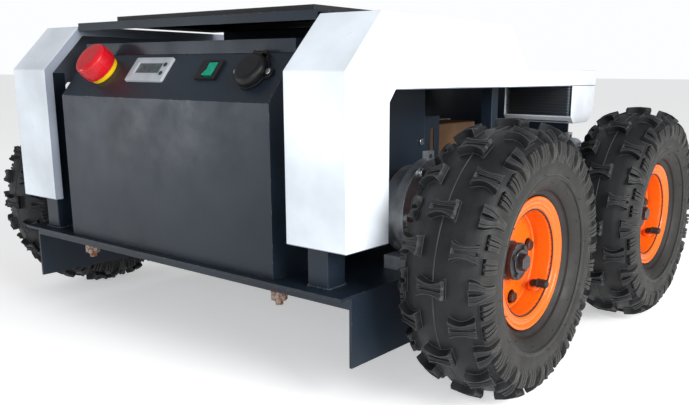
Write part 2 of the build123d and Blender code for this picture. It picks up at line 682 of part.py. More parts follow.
def save_drive_pieces():
    """The four drive units share one node per kind of piece."""
    builders = {"gearbox_housings": gearbox_housing, "gearbox_covers": gearbox_cover, "motors": motor_can}
    for node, build in builders.items():
        rights = [build(axle_y) for axle_y in (FRONT_AXLE_Y, REAR_AXLE_Y)]
        save(Compound(children=rights + [mirror(s, about=Plane.YZ) for s in rights]), node)


# ---- controls ----

def estop_body():
    """Yellow ring on the panel, recessed inside, with the threaded barrel behind it."""
    ring = Pos(0, 0, ESTOP_RING_H / 2) * Cylinder(ESTOP_RING_R, ESTOP_RING_H)
    recess = Pos(0, 0, 3.5 + ESTOP_RING_H / 2) * Cylinder(14, ESTOP_RING_H)
    barrel = Pos(0, 0, -ESTOP_BARREL / 2) * Cylinder(ESTOP_HOLE_R - FIT, ESTOP_BARREL)
    nut = Pos(0, 0, -PANEL_T - 2.5) * Cylinder(15, 5)
    bore = Cylinder(ESTOP_NECK_R, 4 * ESTOP_BARREL)
    return on_panel(*ESTOP_AT, 0, ring - recess + barrel + nut - bore)


def estop_plunger():
    """Sliding stem: wide in the ring's bore, thin where the head turns on it."""
    wide = Pos(0, 0, -8.5) * Cylinder(ESTOP_NECK_R - 0.1, 33)
    thin = Pos(0, 0, 15) * Cylinder(ESTOP_PIVOT_R, 14)
    return on_panel(*ESTOP_AT, 0, wide + thin)


def estop_button():
    """Red cap that hides the ring's top and turns on the plunger to let go of it."""
    skirt_bottom, skirt_r = ESTOP_SKIRT
    height = ESTOP_HEAD_TOP - skirt_bottom
    head = Pos(0, 0, skirt_bottom + height / 2) * Cylinder(ESTOP_HEAD_R, height)
    head = fillet(head.edges().group_by(Axis.Z)[-1], 5)
    hollow = Pos(0, 0, skirt_bottom + 5) * Cylinder(skirt_r, 11)
    boss = Pos(0, 0, 14) * Cylinder(ESTOP_NECK_R + 3, 6)
    pivot = Pos(0, 0, 15) * Cylinder(ESTOP_PIVOT_R + SHAFT_PLAY, 14.6)
    return on_panel(*ESTOP_AT, 0, head - hollow + boss - pivot)


def estop_contacts():
    """Switch block that snaps on behind the barrel."""
    height = 27.0
    return on_panel(*ESTOP_AT, 0, Pos(0, 0, -ESTOP_BARREL - height / 2) * Box(30, 34, height))


def meter_case():
    case = Pos(0, 0, 1.5) * Box(*METER_SIZE, 3)
    body = Pos(0, 0, -8) * Box(METER_SIZE[0] - 5, METER_SIZE[1] - 5, 16)
    case += body
    case -= Pos(*METER_WINDOW_AT, 3) * Box(*METER_WINDOW, 4)
    for x, y in METER_BUTTONS:
        case -= Pos(x, y, 0) * Cylinder(2.9, 8)
    return on_panel(*METER_AT, 0, case)


def meter_screen():
    x, up = METER_AT[0] + METER_WINDOW_AT[0], METER_AT[1] + METER_WINDOW_AT[1]
    return on_panel(x, up, 1.75, Box(*METER_WINDOW, 1.5))


def meter_button(place):
    x, y = place
    return on_panel(METER_AT[0] + x, METER_AT[1] + y, 2.0, Cylinder(2.6, 4))


def rocker_case():
    """Black bezel with the rocker's well and the switch body behind the panel."""
    case = Pos(0, 0, 1.5) * Box(*ROCKER_SIZE, 3)
    case += Pos(0, 0, -10) * Box(ROCKER_SIZE[0] - 5, ROCKER_SIZE[1] - 5, 20)
    well = Box(ROCKER_LENS[0] + 1, ROCKER_LENS[1] + 1.4, 16)
    case -= Pos(ROCKER_LENS_DX, 0, -2) * well
    return on_panel(*ROCKER_AT, 0, case)


def rocker_switch():
    """Lens shaped like a shallow V that rocks about its middle."""
    half = ROCKER_LENS[1] / 2 - 0.3
    outline = [(-half, 5.2), (0, 2.6), (half, 3.2), (half - 1, -1.5), (0, -5), (-half + 1, -1.5)]
    width = ROCKER_LENS[0]
    face = Plane.YZ * make_face(Polyline(*outline, close=True))
    lens = Pos(ROCKER_LENS_DX - width / 2, 0, 0) * extrude(face, width, dir=(1, 0, 0))
    return on_panel(*ROCKER_AT, 0, lens)


def socket_body():
    """Round flange with two screw ears, the bore and the cap's hinge lugs."""
    ears = Pos(0, 0, 1.5) * Box(*SOCKET_EAR, 3)
    shape = fillet(ears.edges().filter_by(Axis.Z), 6)
    shape += Pos(0, 0, 1.5) * Cylinder(SOCKET_FLANGE_R, 3)
    shape += Pos(0, SOCKET_HINGE_UP - 4, 1.5) * Box(18, 12, 3)
    shape += Pos(0, 0, -12) * Cylinder(SOCKET_BORE_R + 3, 24)
    for side in (-1, 1):
        shape += Pos(side * 7.5, SOCKET_HINGE_UP, 4.5) * Box(3, 4, 6)
        shape -= Pos(side * SOCKET_SCREW_DX, 0, 0) * Cylinder(1.7, 10)
    shape -= Pos(0, 0, -8) * Cylinder(SOCKET_BORE_R, 28)
    return on_panel(*SOCKET_AT, 0, shape)


def socket_cap():
    """Domed dust cap hinged at its upper edge."""
    dome = Pos(0, 0, 7.8) * Cylinder(SOCKET_CAP_R, 9)
    dome = fillet(dome.edges().group_by(Axis.Z)[-1], 6)
    knuckle = Pos(0, SOCKET_HINGE_UP, SOCKET_HINGE_H) * Rot(0, 90, 0) * Cylinder(2, 11.4)
    web = Pos(0, SOCKET_HINGE_UP - 3, SOCKET_HINGE_H) * Box(8, 6, 3)
    return on_panel(*SOCKET_AT, 0, dome + knuckle + web)


def socket_screws():
    screws = []
    for dx in (-SOCKET_SCREW_DX, SOCKET_SCREW_DX):
        screw = Pos(0, 0, -3) * Cylinder(1.6, 12) + Pos(0, 0, 4) * Cylinder(3.3, 2)
        screws.append(on_panel(SOCKET_AT[0] + dx, SOCKET_AT[1], 0, screw))
    return screws


# ---- inside ----

def battery_pack():
    x, y, z = BATTERY_SIZE
    block = box(-x / 2, x / 2, BATTERY_Y - y / 2, BATTERY_Y + y / 2, DECK_Z, DECK_Z + z)
    return fillet(block.edges().filter_by(Axis.Z), 6)


def battery_straps():
    """Steel straps over the battery with a foot at each end."""
    x, y, z = BATTERY_SIZE
    straps = []
    for mid in (-70.0, 70.0):
        top = DECK_Z + z
        y0, y1 = BATTERY_Y - y / 2, BATTERY_Y + y / 2
        strap = box(mid - 10, mid + 10, y0 - 2, y1 + 2, top, top + 2)
        for edge, foot in ((y0, y0 - 18), (y1, y1 + 18)):
            inner, outer = sorted((edge, edge + (2 if foot > edge else -2)))
            strap += box(mid - 10, mid + 10, inner, outer, DECK_Z, top)
            strap += box(mid - 10, mid + 10, edge, foot, DECK_Z, DECK_Z + 2)
        strap -= box(mid - 11, mid + 11, y0, y1, DECK_Z - 1, top)
        straps.append(strap)
    return Compound(children=straps)


def motor_drivers():
    """Finned motor controllers standing in the front box."""
    x, y, z = DRIVER_SIZE
    units = []
    for mid in (-80.0, 80.0):
        unit = box(mid - x / 2, mid + x / 2, -240, -240 + y, DECK_Z, DECK_Z + z - 10)
        for i in range(9):
            fin = mid - x / 2 + 2 + i * 9.5
            unit += box(fin, fin + 3, -240, -240 + y, DECK_Z + z - 10, DECK_Z + z)
        units.append(unit)
    return Compound(children=units)


def control_board():
    board = box(-60, 60, -110, -75, DECK_Z + 8, DECK_Z + 9.6)
    for x in (-54.0, 54.0):
        for y in (-105.0, -80.0):
            board += rod_z(x, y, DECK_Z, DECK_Z + 8, 3)
    board += box(-40, 10, -104, -84, DECK_Z + 9.6, DECK_Z + 20)
    board += box(18, 50, -100, -86, DECK_Z + 9.6, DECK_Z + 24)
    return board


def plate_bolts():
    """Bolts through the base plate: long nuts below it, hex heads on the flanges above."""
    bolts = []
    for x, y in plate_bolt_places():
        under = DECK_Z - BASE_T
        top = DECK_Z + (REAR_DECK_T if y > 0 else BOX_T)
        shank = rod_z(x, y, LONG_NUT_BOTTOM_Z - 5, top, 4)
        bolts.append(shank + hex_z(x, y, LONG_NUT_BOTTOM_Z, under, 7.5) + hex_z(x, y, top, top + 6.5,
                                                                                6.5))
    return Compound(children=bolts)


def wall_screws():
    screws = []
    for x, y, z in wall_screw_places():
        s = 1 if x > 0 else -1
        shank = rod_x(x - s * 6, x, y, z, 2)
        head = rod_x(x, x + s * 2.5, y, z, 4)
        screws.append(shank + head)
    return screws


def machine_screws():
    """Gearbox, wall and socket screws."""
    rights = gearbox_screws(FRONT_AXLE_Y) + gearbox_screws(REAR_AXLE_Y)
    lefts = [mirror(screw, about=Plane.YZ) for screw in rights]
    return Compound(children=rights + lefts + wall_screws() + socket_screws())


save(base_plate(), "base_plate")
save(front_box(), "front_box")
save(control_panel(), "control_panel")
save(roof_and_rear_wall(), "roof_and_rear_wall")
save(rear_deck(), "rear_deck")
save(both_sides(slotted_bracket()), "slotted_brackets")
save(both_sides(front_post()), "front_posts")
save(both_sides(rear_post()), "rear_posts")
save(cover_right(), "cover_right")
save(mirror(cover_right(), about=Plane.YZ), "cover_left")
save(both_sides(pod_shell()), "pod_shells")
save(both_sides(pod_fins()), "pod_fins")
save(top_lid(), "top_lid")
save(lid_hinge_fixed(), "lid_hinges")
save(lid_buffers(), "lid_buffers")
save(estop_body(), "estop_body")
save(estop_plunger(), "estop_plunger")
save(estop_button(), "estop_button")
save(estop_contacts(), "estop_contacts")
save(meter_case(), "meter_case")
save(meter_screen(), "meter_screen")
save(meter_button(METER_BUTTONS[0]), "meter_button_up")
save(meter_button(METER_BUTTONS[1]), "meter_button_down")
save(rocker_case(), "rocker_case")
save(rocker_switch(), "rocker_switch")
save(socket_body(), "socket_body")
save(socket_cap(), "socket_cap")
save(battery_pack(), "battery_pack")
save(battery_straps(), "battery_straps")
save(motor_drivers(), "motor_drivers")
save(control_board(), "control_board")
save(plate_bolts(), "plate_bolts")
save(machine_screws(), "machine_screws")
save_drive_pieces()
save_wheel_pieces()
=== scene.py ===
"""Looks of the four-wheel robot chassis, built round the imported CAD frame.

Metres. The control panel faces -Y, wheels turn about X, the ground is z = 0.
"""

import json
import math
import random

import bmesh
import bpy
from mathutils import Matrix, Vector


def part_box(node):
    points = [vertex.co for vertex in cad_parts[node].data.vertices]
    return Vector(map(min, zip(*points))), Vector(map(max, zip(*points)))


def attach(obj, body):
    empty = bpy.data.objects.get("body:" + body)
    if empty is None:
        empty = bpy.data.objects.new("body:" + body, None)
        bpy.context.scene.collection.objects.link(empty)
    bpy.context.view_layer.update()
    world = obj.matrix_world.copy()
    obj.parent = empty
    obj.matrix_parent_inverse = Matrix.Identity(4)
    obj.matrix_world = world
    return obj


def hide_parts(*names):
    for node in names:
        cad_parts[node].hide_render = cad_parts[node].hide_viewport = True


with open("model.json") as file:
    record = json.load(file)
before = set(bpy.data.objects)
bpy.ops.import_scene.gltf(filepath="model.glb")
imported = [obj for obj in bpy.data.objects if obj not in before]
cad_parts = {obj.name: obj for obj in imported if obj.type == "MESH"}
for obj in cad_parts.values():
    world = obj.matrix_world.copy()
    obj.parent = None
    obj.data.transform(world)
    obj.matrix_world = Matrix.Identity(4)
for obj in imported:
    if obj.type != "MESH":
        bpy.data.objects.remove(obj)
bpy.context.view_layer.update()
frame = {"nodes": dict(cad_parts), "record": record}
NODES = frame["nodes"]
MM = 0.001
WHEELS = {"fr": 1, "fl": -1, "rr": 1, "rl": -1}  # 1 on the robot's +X side


# ---- materials ----

class Surface:
    """A node material under construction."""

    def __init__(self, name):
        self.material = bpy.data.materials.new(name)
        self.material.use_nodes = True
        self.tree = self.material.node_tree
        self.shader = self.tree.nodes["Principled BSDF"]
        coords = self.tree.nodes.new("ShaderNodeTexCoord")
        self.place = coords.outputs["Object"]
        self.normal = None

    def node(self, kind, **settings):
        made = self.tree.nodes.new(kind)
        for key, value in settings.items():
            setattr(made, key, value)
        return made

    def link(self, source, target):
        self.tree.links.new(source, target)

    def set(self, **sockets):
        for key, value in sockets.items():
            self.shader.inputs[key.replace("_", " ")].default_value = value

    def noise(self, scale, detail=3.0, rough=0.5, stretch=None):
        made = self.node("ShaderNodeTexNoise")
        made.inputs["Scale"].default_value = scale
        made.inputs["Detail"].default_value = detail
        made.inputs["Roughness"].default_value = rough
        source = self.place
        if stretch:
            mapping = self.node("ShaderNodeMapping")
            mapping.inputs["Scale"].default_value = stretch
            self.link(source, mapping.inputs["Vector"])
            source = mapping.outputs["Vector"]
        self.link(source, made.inputs["Vector"])
        return made.outputs["Fac"]

    def ramp(self, source, *stops):
        """Colour ramp; each stop is (place, grey or colour)."""
        made = self.node("ShaderNodeValToRGB")
        elements = made.color_ramp.elements
        while len(elements) < len(stops):
            elements.new(0.5)
        for element, (place, value) in zip(elements, stops):
            element.position = place
            colour = (value, value, value) if isinstance(value, (int, float)) else value
            element.color = (*colour, 1.0)
        self.link(source, made.inputs["Fac"])
        return made.outputs["Color"]

    def math(self, operation, a, b):
        made = self.node("ShaderNodeMath", operation=operation)
        for socket, value in zip(made.inputs, (a, b)):
            if isinstance(value, (int, float)):
                socket.default_value = value
            else:
                self.link(value, socket)
        return made.outputs["Value"]

    def mix(self, factor, a, b):
        made = self.node("ShaderNodeMix", data_type="RGBA")
        self.link(factor, made.inputs["Factor"])
        for socket, value in ((made.inputs[6], a), (made.inputs[7], b)):
            if isinstance(value, tuple):
                socket.default_value = (*value, 1.0)
            else:
                self.link(value, socket)
        return made.outputs[2]

    def bump(self, height, strength, distance):
        made = self.node("ShaderNodeBump")
        made.inputs["Strength"].default_value = strength
        made.inputs["Distance"].default_value = distance
        self.link(height, made.inputs["Height"])
        if self.normal:
            self.link(self.normal, made.inputs["Normal"])
        self.normal = made.outputs["Normal"]
        self.link(self.normal, self.shader.inputs["Normal"])

    def colour(self, source):
        self.link(source, self.shader.inputs["Base Color"])

    def roughness(self, source):
        self.link(source, self.shader.inputs["Roughness"])

    def corner_shade_mask(self, distance):
        """White in the open, dark in corners closer than the distance: the mask for painted shade."""
        made = self.node("ShaderNodeAmbientOcclusion", samples=6)
        made.inputs["Distance"].default_value = distance
        return made.outputs["AO"]

    def edge(self, radius):
        """White only along outer edges, from the rounded normal."""
        rounded = self.node("ShaderNodeBevel", samples=4)
        rounded.inputs["Radius"].default_value = radius
        true = self.node("ShaderNodeNewGeometry")
        dot = self.node("ShaderNodeVectorMath", operation="DOT_PRODUCT")
        self.link(rounded.outputs["Normal"], dot.inputs[0])
        self.link(true.outputs["True Normal"], dot.inputs[1])
        return self.ramp(dot.outputs["Value"], (0.80, 1.0), (0.97, 0.0))


# Width of the edge mask: real chips on the paint, a painted highlight on the tyres.
EDGE_WEAR_AND_HIGHLIGHT = 0.0012


def powder_coat(name, colour, chipped, rough=0.42, shine=0.3):
    """Powder-coated sheet: orange peel, faint mottling, painted shade in its corners and small chips on the
    edges.
    """
    s = Surface(name)
    mottle = s.noise(9.0, 5.0)
    darker = tuple(c * 0.80 for c in colour)
    lighter = tuple(min(c * 1.18, 1.0) for c in colour)
    body = s.mix(s.ramp(mottle, (0.35, 0.0), (0.68, 1.0)), darker, lighter)
    # Painted shade: the coat turns to a deeper tone in corners and where parts meet.
    shade_in_corners = s.ramp(s.corner_shade_mask(0.03), (0.15, 1.0), (0.75, 0.0))
    body = s.mix(s.math("MULTIPLY", shade_in_corners, 0.45), body, tuple(c * 0.45 for c in colour))
    flaking = s.ramp(s.noise(190.0, 4.0, 0.7), (0.56, 0.0), (0.62, 1.0))
    chips = s.math("MULTIPLY", s.edge(EDGE_WEAR_AND_HIGHLIGHT), flaking)
    s.colour(s.mix(chips, body, chipped))
    smear = s.ramp(s.noise(22.0, 6.0, 0.65), (0.3, rough - 0.08), (0.75, rough + 0.10))
    s.roughness(smear)
    s.bump(s.noise(620.0, 1.0), 0.10, 0.0006)
    s.bump(s.noise(2400.0, 2.0), 0.05, 0.0003)
    s.set(Specular_IOR_Level=shine)
    return s.material


def tyre_rubber(name, dark, light):
    """Moulded tyre rubber: grey bloom, scuffs and a painted highlight along the edges."""
    s = Surface(name)
    bloom = s.ramp(s.noise(26.0, 6.0, 0.65), (0.30, dark), (0.72, light))
    scuffs = s.ramp(s.noise(420.0, 3.0, 0.7), (0.48, 0.0), (0.74, 1.0))
    body = s.mix(s.math("MULTIPLY", scuffs, 0.22), bloom, tuple(c * 2.2 for c in light))
    # Painted highlight: the blocks' edges are paler, as if they catch the light.
    edge_highlight = s.math("MULTIPLY", s.edge(EDGE_WEAR_AND_HIGHLIGHT), 0.65)
    s.colour(s.mix(edge_highlight, body, tuple(0.085 + c * 1.6 for c in light)))
    s.roughness(s.ramp(s.noise(55.0, 5.0, 0.6), (0.3, 0.46), (0.75, 0.68)))
    s.bump(s.noise(900.0, 3.0, 0.6), 0.25, 0.0004)
    s.bump(s.noise(110.0, 3.0), 0.12, 0.0010)
    s.set(Specular_IOR_Level=0.32)
    return s.material


def gloss_paint(name, colour, rough=0.16, soil_and_shade_amount=0.35):
    """Wet-looking enamel with a clear coat, painted shade in the corners and dark spots of soiling."""
    s = Surface(name)
    deep = tuple(c * 0.86 for c in colour)
    body = s.mix(s.ramp(s.noise(14.0, 4.0), (0.35, 0.0), (0.7, 1.0)), deep, colour)
    # Painted shade in corners, joined with real spots of soiling; both darken the enamel towards brown.
    shade_in_corners = s.ramp(s.corner_shade_mask(0.012), (0.10, 1.0), (0.62, 0.0))
    spots = s.ramp(s.noise(240.0, 5.0, 0.7), (0.62, 0.0), (0.70, 1.0))
    soiled_and_shaded = s.math("MAXIMUM", s.math("MULTIPLY", shade_in_corners, soil_and_shade_amount), s.math("MULTIPLY", spots, soil_and_shade_amount * 0.5))
    s.colour(s.mix(soiled_and_shaded, body, (0.06, 0.035, 0.02)))
    s.roughness(s.ramp(s.noise(40.0, 5.0), (0.3, rough), (0.8, rough + 0.14)))
    s.bump(s.noise(380.0, 1.0), 0.06, 0.0005)
    s.set(Specular_IOR_Level=0.35, Coat_Weight=0.12, Coat_Roughness=0.10)
    return s.material


def plain_metal(name, colour, rough=0.35, grain=(1.0, 1.0, 1.0), pits=0.12, tarnish=(0.25, 0.22, 0.20)):
    """Bare or plated metal with a directional grain, some tarnish and painted shade in its corners."""
    s = Surface(name)
    stain = s.ramp(s.noise(60.0, 6.0, 0.7), (0.45, 0.0), (0.80, 1.0))
    body = s.mix(s.math("MULTIPLY", stain, 0.6), colour, tarnish)
    # Painted shade: the colour darkens in corners and creases.
    corner = s.ramp(s.corner_shade_mask(0.008), (0.10, 1.0), (0.65, 0.0))
    s.colour(s.mix(s.math("MULTIPLY", corner, 0.6), body, tuple(c * 0.25 for c in tarnish)))
    s.roughness(s.ramp(s.noise(300.0, 3.0, 0.6, grain), (0.25, rough - 0.10), (0.8, rough + 0.16)))
    s.bump(s.noise(520.0, 3.0, 0.6, grain), pits, 0.0005)
    s.set(Metallic=1.0)
    return s.material


def rusty_steel(name):
    """Old zinc going brown."""
    s = Surface(name)
    patches = s.noise(210.0, 6.0, 0.7)
    rust = s.ramp(s.noise(700.0, 4.0, 0.7), (0.3, (0.10, 0.035, 0.015)), (0.75, (0.34, 0.14, 0.05)))
    s.colour(s.mix(s.ramp(patches, (0.40, 0.0), (0.58, 1.0)), (0.30, 0.27, 0.25), rust))
    s.roughness(s.ramp(patches, (0.4, 0.45), (0.6, 0.88)))
    s.bump(patches, 0.5, 0.0010)
    s.set(Metallic=0.55)
    return s.material


def plastic(name, colour, rough=0.3, texture=0.10, grain=700.0, coat=0.0):
    """Moulded plastic with a fine spark-eroded grain and painted shade in its corners."""
    s = Surface(name)
    dull = tuple(c * 0.82 for c in colour)
    body = s.mix(s.ramp(s.noise(50.0, 4.0), (0.35, 0.0), (0.7, 1.0)), dull, colour)
    # Painted shade: the colour darkens in corners and recesses.
    corner = s.ramp(s.corner_shade_mask(0.006), (0.10, 1.0), (0.60, 0.0))
    s.colour(s.mix(s.math("MULTIPLY", corner, 0.5), body, tuple(c * 0.2 for c in colour)))
    s.roughness(s.ramp(s.noise(130.0, 4.0), (0.3, max(rough - 0.06, 0.04)), (0.8, rough + 0.10)))
    s.bump(s.noise(grain, 2.0), texture, 0.0003)
    s.set(Coat_Weight=coat, Coat_Roughness=0.1, Specular_IOR_Level=0.3)
    return s.material


def emissive_lens(name, colour, glow):
    """Switch lens with a painted glow that brightens it, and a slightly uneven tone."""
    s = Surface(name)
    cell = s.noise(260.0, 2.0)
    tone = s.ramp(cell, (0.3, tuple(c * 0.7 for c in colour)), (0.7, colour))
    s.colour(tone)
    # Painted glow: the lens gives off its own colour so that it looks brighter.
    s.link(tone, s.shader.inputs["Emission Color"])
    s.set(Emission_Strength=glow, Roughness=0.30, Specular_IOR_Level=0.2)
    s.bump(s.noise(1500.0, 1.0), 0.05, 0.0002)
    return s.material


PAINT = (0.011, 0.018, 0.029)
COVER_WHITE = (0.70, 0.745, 0.80)
COVER_CHIPPED = (0.42, 0.42, 0.43)
MATERIALS = {
    "body_paint": powder_coat("body_paint", PAINT, (0.22, 0.13, 0.08), rough=0.38),
    "cover_paint": powder_coat("cover_paint", COVER_WHITE, COVER_CHIPPED, rough=0.34),
    # Painted shade: the covers' white turned grey-blue on their inside faces.
    "cover_inside_shade": powder_coat("cover_inside_shade", (0.26, 0.29, 0.35), (0.20, 0.20, 0.21), rough=0.6, shine=0.1),
    # Painted shade: near-black for the roof's underside.
    "underside_shade": powder_coat("underside_shade", (0.004, 0.005, 0.007), (0.02, 0.02, 0.02),
                               rough=0.7, shine=0.05),
    "pod_paint": powder_coat("pod_paint", COVER_WHITE, COVER_CHIPPED, rough=0.34),
    "lid_paint": powder_coat("lid_paint", (0.030, 0.031, 0.032), (0.20, 0.20, 0.20), shine=0.2),
    "tyre_rubber": tyre_rubber("tyre_rubber", (0.0028, 0.0030, 0.0038), (0.0085, 0.0090, 0.0105)),
    "tyre_sidewall": tyre_rubber("tyre_sidewall", (0.012, 0.0118, 0.0116), (0.022, 0.0214, 0.0208)),
    "tube_rubber": plastic("tube_rubber", (0.022, 0.022, 0.022), 0.45),
    "rim_paint": gloss_paint("rim_paint", (0.90, 0.135, 0.006), rough=0.24),
    "hub_black": powder_coat("hub_black", (0.030, 0.030, 0.034), (0.30, 0.28, 0.26), rough=0.36),
    "shaft_steel": plain_metal("shaft_steel", (0.55, 0.55, 0.56), 0.30, (1.0, 18.0, 18.0)),
    "wheel_bolt_black": plain_metal("wheel_bolt_black", (0.10, 0.10, 0.105), 0.42),
    "gearbox_cast": plain_metal("gearbox_cast", (0.66, 0.69, 0.73), 0.46, pits=0.35),
    "gearbox_plate": plain_metal("gearbox_plate", (0.62, 0.66, 0.72), 0.42, pits=0.25),
    "motor_black": powder_coat("motor_black", (0.028, 0.029, 0.032), (0.25, 0.25, 0.25)),
    "screw_steel": plain_metal("screw_steel", (0.62, 0.62, 0.63), 0.30),
    "bolt_rusty": rusty_steel("bolt_rusty"),
    "fin_black": plain_metal("fin_black", (0.17, 0.19, 0.22), 0.42, (1.0, 12.0, 12.0)),
    "hinge_steel": plain_metal("hinge_steel", (0.42, 0.43, 0.45), 0.34),
    "buffer_rubber": plastic("buffer_rubber", (0.020, 0.020, 0.021), 0.62),
    "button_red": plastic("button_red", (0.56, 0.008, 0.016), 0.30, 0.04, coat=0.15),
    "collar_yellow": plastic("collar_yellow", (0.85, 0.52, 0.010), 0.30, 0.06),
    "plunger_black": plastic("plunger_black", (0.020, 0.020, 0.022), 0.40),
    "contact_grey": plastic("contact_grey", (0.24, 0.25, 0.27), 0.45),
    "meter_grey": plastic("meter_grey", (0.42, 0.45, 0.48), 0.36),
    "screen_dark": plastic("screen_dark", (0.070, 0.088, 0.090), 0.30, 0.0),
    "meter_button": plastic("meter_button", (0.030, 0.032, 0.036), 0.40),
    "rocker_black": plastic("rocker_black", (0.006, 0.006, 0.007), 0.34),
    "rocker_green": emissive_lens("rocker_green", (0.001, 0.26, 0.16), 0.25),
    "socket_black": plastic("socket_black", (0.006, 0.006, 0.007), 0.42),
    "cap_black": plastic("cap_black", (0.005, 0.005, 0.006), 0.42),
    "battery_wrap": plastic("battery_wrap", (0.14, 0.075, 0.038), 0.55),
    "strap_steel": plain_metal("strap_steel", (0.50, 0.50, 0.51), 0.34, (12.0, 1.0, 1.0)),
    "driver_alu": plain_metal("driver_alu", (0.16, 0.17, 0.19), 0.45),
    "board_green": plastic("board_green", (0.010, 0.16, 0.055), 0.35),
}
SLOT_OF = {part["node"]: part["material_slot"] for part in frame["record"]["subparts"]}
for node_name, node in NODES.items():
    for i in range(len(node.material_slots)):
        node.material_slots[i].material = MATERIALS[SLOT_OF[node_name]]
BODY_OF = {n: body for body, names in frame["record"]["behaviour"]["bodies"].items() for n in names}


# ---- building blocks ----

SAME_POINT = 1e-6  # vertices closer than this, in metres, are one

def add_object(name, mesh, slot):
    piece = bpy.data.objects.new(name, mesh)
    bpy.context.scene.collection.objects.link(piece)
    mesh.materials.append(MATERIALS[slot])
    return piece


def finish_piece(piece, node_name):
    """Puts the piece on its body and hides the node it stands for."""
    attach(piece, BODY_OF[node_name])
    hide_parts(node_name)
    return piece


def apply_all(piece):
    """Turns the modifiers into plain mesh."""
    graph = bpy.context.evaluated_depsgraph_get()
    done = bpy.data.meshes.new_from_object(piece.evaluated_get(graph))
    piece.modifiers.clear()
    piece.data = done


def round_edges(piece, width):
    """Bevels every edge sharper than 30 degrees and shades the piece smooth."""
    bevel = piece.modifiers.new("round", "BEVEL")
    bevel.width = width
    bevel.segments = 2
    bevel.limit_method = "ANGLE"
    bevel.angle_limit = math.radians(30)
    bevel.use_clamp_overlap = True
    piece.data.shade_smooth()
    weighted = piece.modifiers.new("normals", "WEIGHTED_NORMAL")
    weighted.keep_sharp = True
    apply_all(piece)


def stand_in(node_name, width):
    """A copy of a CAD node with its flat faces merged and its edges rounded."""
    mesh = NODES[node_name].data.copy()
    work = bmesh.new()
    work.from_mesh(mesh)
    bmesh.ops.remove_doubles(work, verts=work.verts, dist=SAME_POINT)
    bmesh.ops.dissolve_limit(work, angle_limit=math.radians(1.0), verts=work.verts, edges=work.edges)
    work.to_mesh(mesh)
    work.free()
    mesh.materials.clear()
    piece = add_object(node_name + "_look", mesh, SLOT_OF[node_name])
    round_edges(piece, width)
    return finish_piece(piece, node_name)


class Shape:
    """Vertices and faces gathered from several parts, in millimetres."""

    def __init__(self):
        self.verts = []
        self.faces = []

    def add(self, verts, faces):
        start = len(self.verts)
        self.verts += [Vector(v) for v in verts]
        self.faces += [tuple(start + i for i in face) for face in faces]

    def join(self, other, matrix=None):
        self.add([matrix @ v if matrix else v for v in other.verts], other.faces)

    def grid(self, rows, wrap=False):
        """Skin over rows of points; wrap joins the last row to the first."""
        width = len(rows[0])
        faces = []
        for i in range(len(rows) - (0 if wrap else 1)):
            low, high = i * width, (i + 1) % len(rows) * width
            faces += [(low + j, low + j + 1, high + j + 1, high + j) for j in range(width - 1)]
        self.add([p for row in rows for p in row], faces)

    def lathe(self, profile, segments=72):
        """A (x, radius) outline turned about X."""
        rows = []
        for i in range(segments):
            a = 2 * math.pi * i / segments
            rows.append([(x, r * math.sin(a), r * math.cos(a)) for x, r in profile])
        self.grid(rows, wrap=True)

    def piece(self, name, slot, matrix, smooth_angle=40):
        """An object from the gathered mesh, with its normals made to face outwards."""
        mesh = bpy.data.meshes.new(name)
        mesh.from_pydata([tuple(matrix @ (v * MM)) for v in self.verts], [], self.faces)
        mesh.validate()
        work = bmesh.new()
        work.from_mesh(mesh)
        bmesh.ops.remove_doubles(work, verts=work.verts, dist=SAME_POINT)
        bmesh.ops.recalc_face_normals(work, faces=work.faces)
        for edge in work.edges:
            sharp = len(edge.link_faces) == 2 and edge.calc_face_angle(0.0) > math.radians(smooth_angle)
            edge.smooth = not sharp
        work.to_mesh(mesh)
        work.free()
        mesh.shade_smooth()
        return add_object(name, mesh, slot)


def eased(points, reach, steps=4):
    """A polyline with each inner corner turned into a small curve."""
    out = [points[0]]
    for before, corner, after in zip(points, points[1:], points[2:]):
        a, b, c = Vector(before), Vector(corner), Vector(after)
        cut_in = min(reach, 0.45 * (a - b).length)
        cut_out = min(reach, 0.45 * (c - b).length)
        start = b + (a - b).normalized() * cut_in
        end = b + (c - b).normalized() * cut_out
        for i in range(steps + 1):
            t = i / steps
            out.append(tuple(start * (1 - t) ** 2 + b * 2 * t * (1 - t) + end * t ** 2))
    out.append(points[-1])
    return out


def closed_lathe(profile, reach, segments=72):
    """A turned solid whose closed outline has softened corners."""
    shape = Shape()
    middle = tuple((a + b) / 2 for a, b in zip(profile[0], profile[-1]))
    loop = eased([middle] + profile + [middle], reach)
    shape.lathe(loop, segments)
    return shape


def hexagon(flat, x0, x1, chamfer=0.7):
    """Hexagon head along X with a turned chamfer on its outer end."""
    shape = Shape()
    corner = flat / math.cos(math.pi / 6)
    turns = [i * math.pi / 3 for i in range(7)]
    rows = []
    for x, scale in ((x0, 1.0), (x1 - chamfer, 1.0), (x1, 0.90)):
        reach = corner * scale
        rows.append([(x, reach * math.sin(turn), reach * math.cos(turn)) for turn in turns])
    shape.grid(rows)
    shape.add(rows[-1][:6], [tuple(range(6))])
    shape.add(rows[0][:6], [tuple(range(6))])
    return shape


def moved(x, y, z):
    return Matrix.Translation((x, y, z))


JOINTS = {joint["name"]: joint for joint in frame["record"]["behaviour"]["joints"]}


def at_wheel(corner):
    """Places a right-hand wheel shape at a corner, mirrored on the left."""
    side = Matrix.Diagonal((WHEELS[corner], 1, 1, 1))
    return Matrix.Translation(JOINTS[f"wheel_{corner}_spin"]["pos_m"]) @ side


# ---- tyres ----

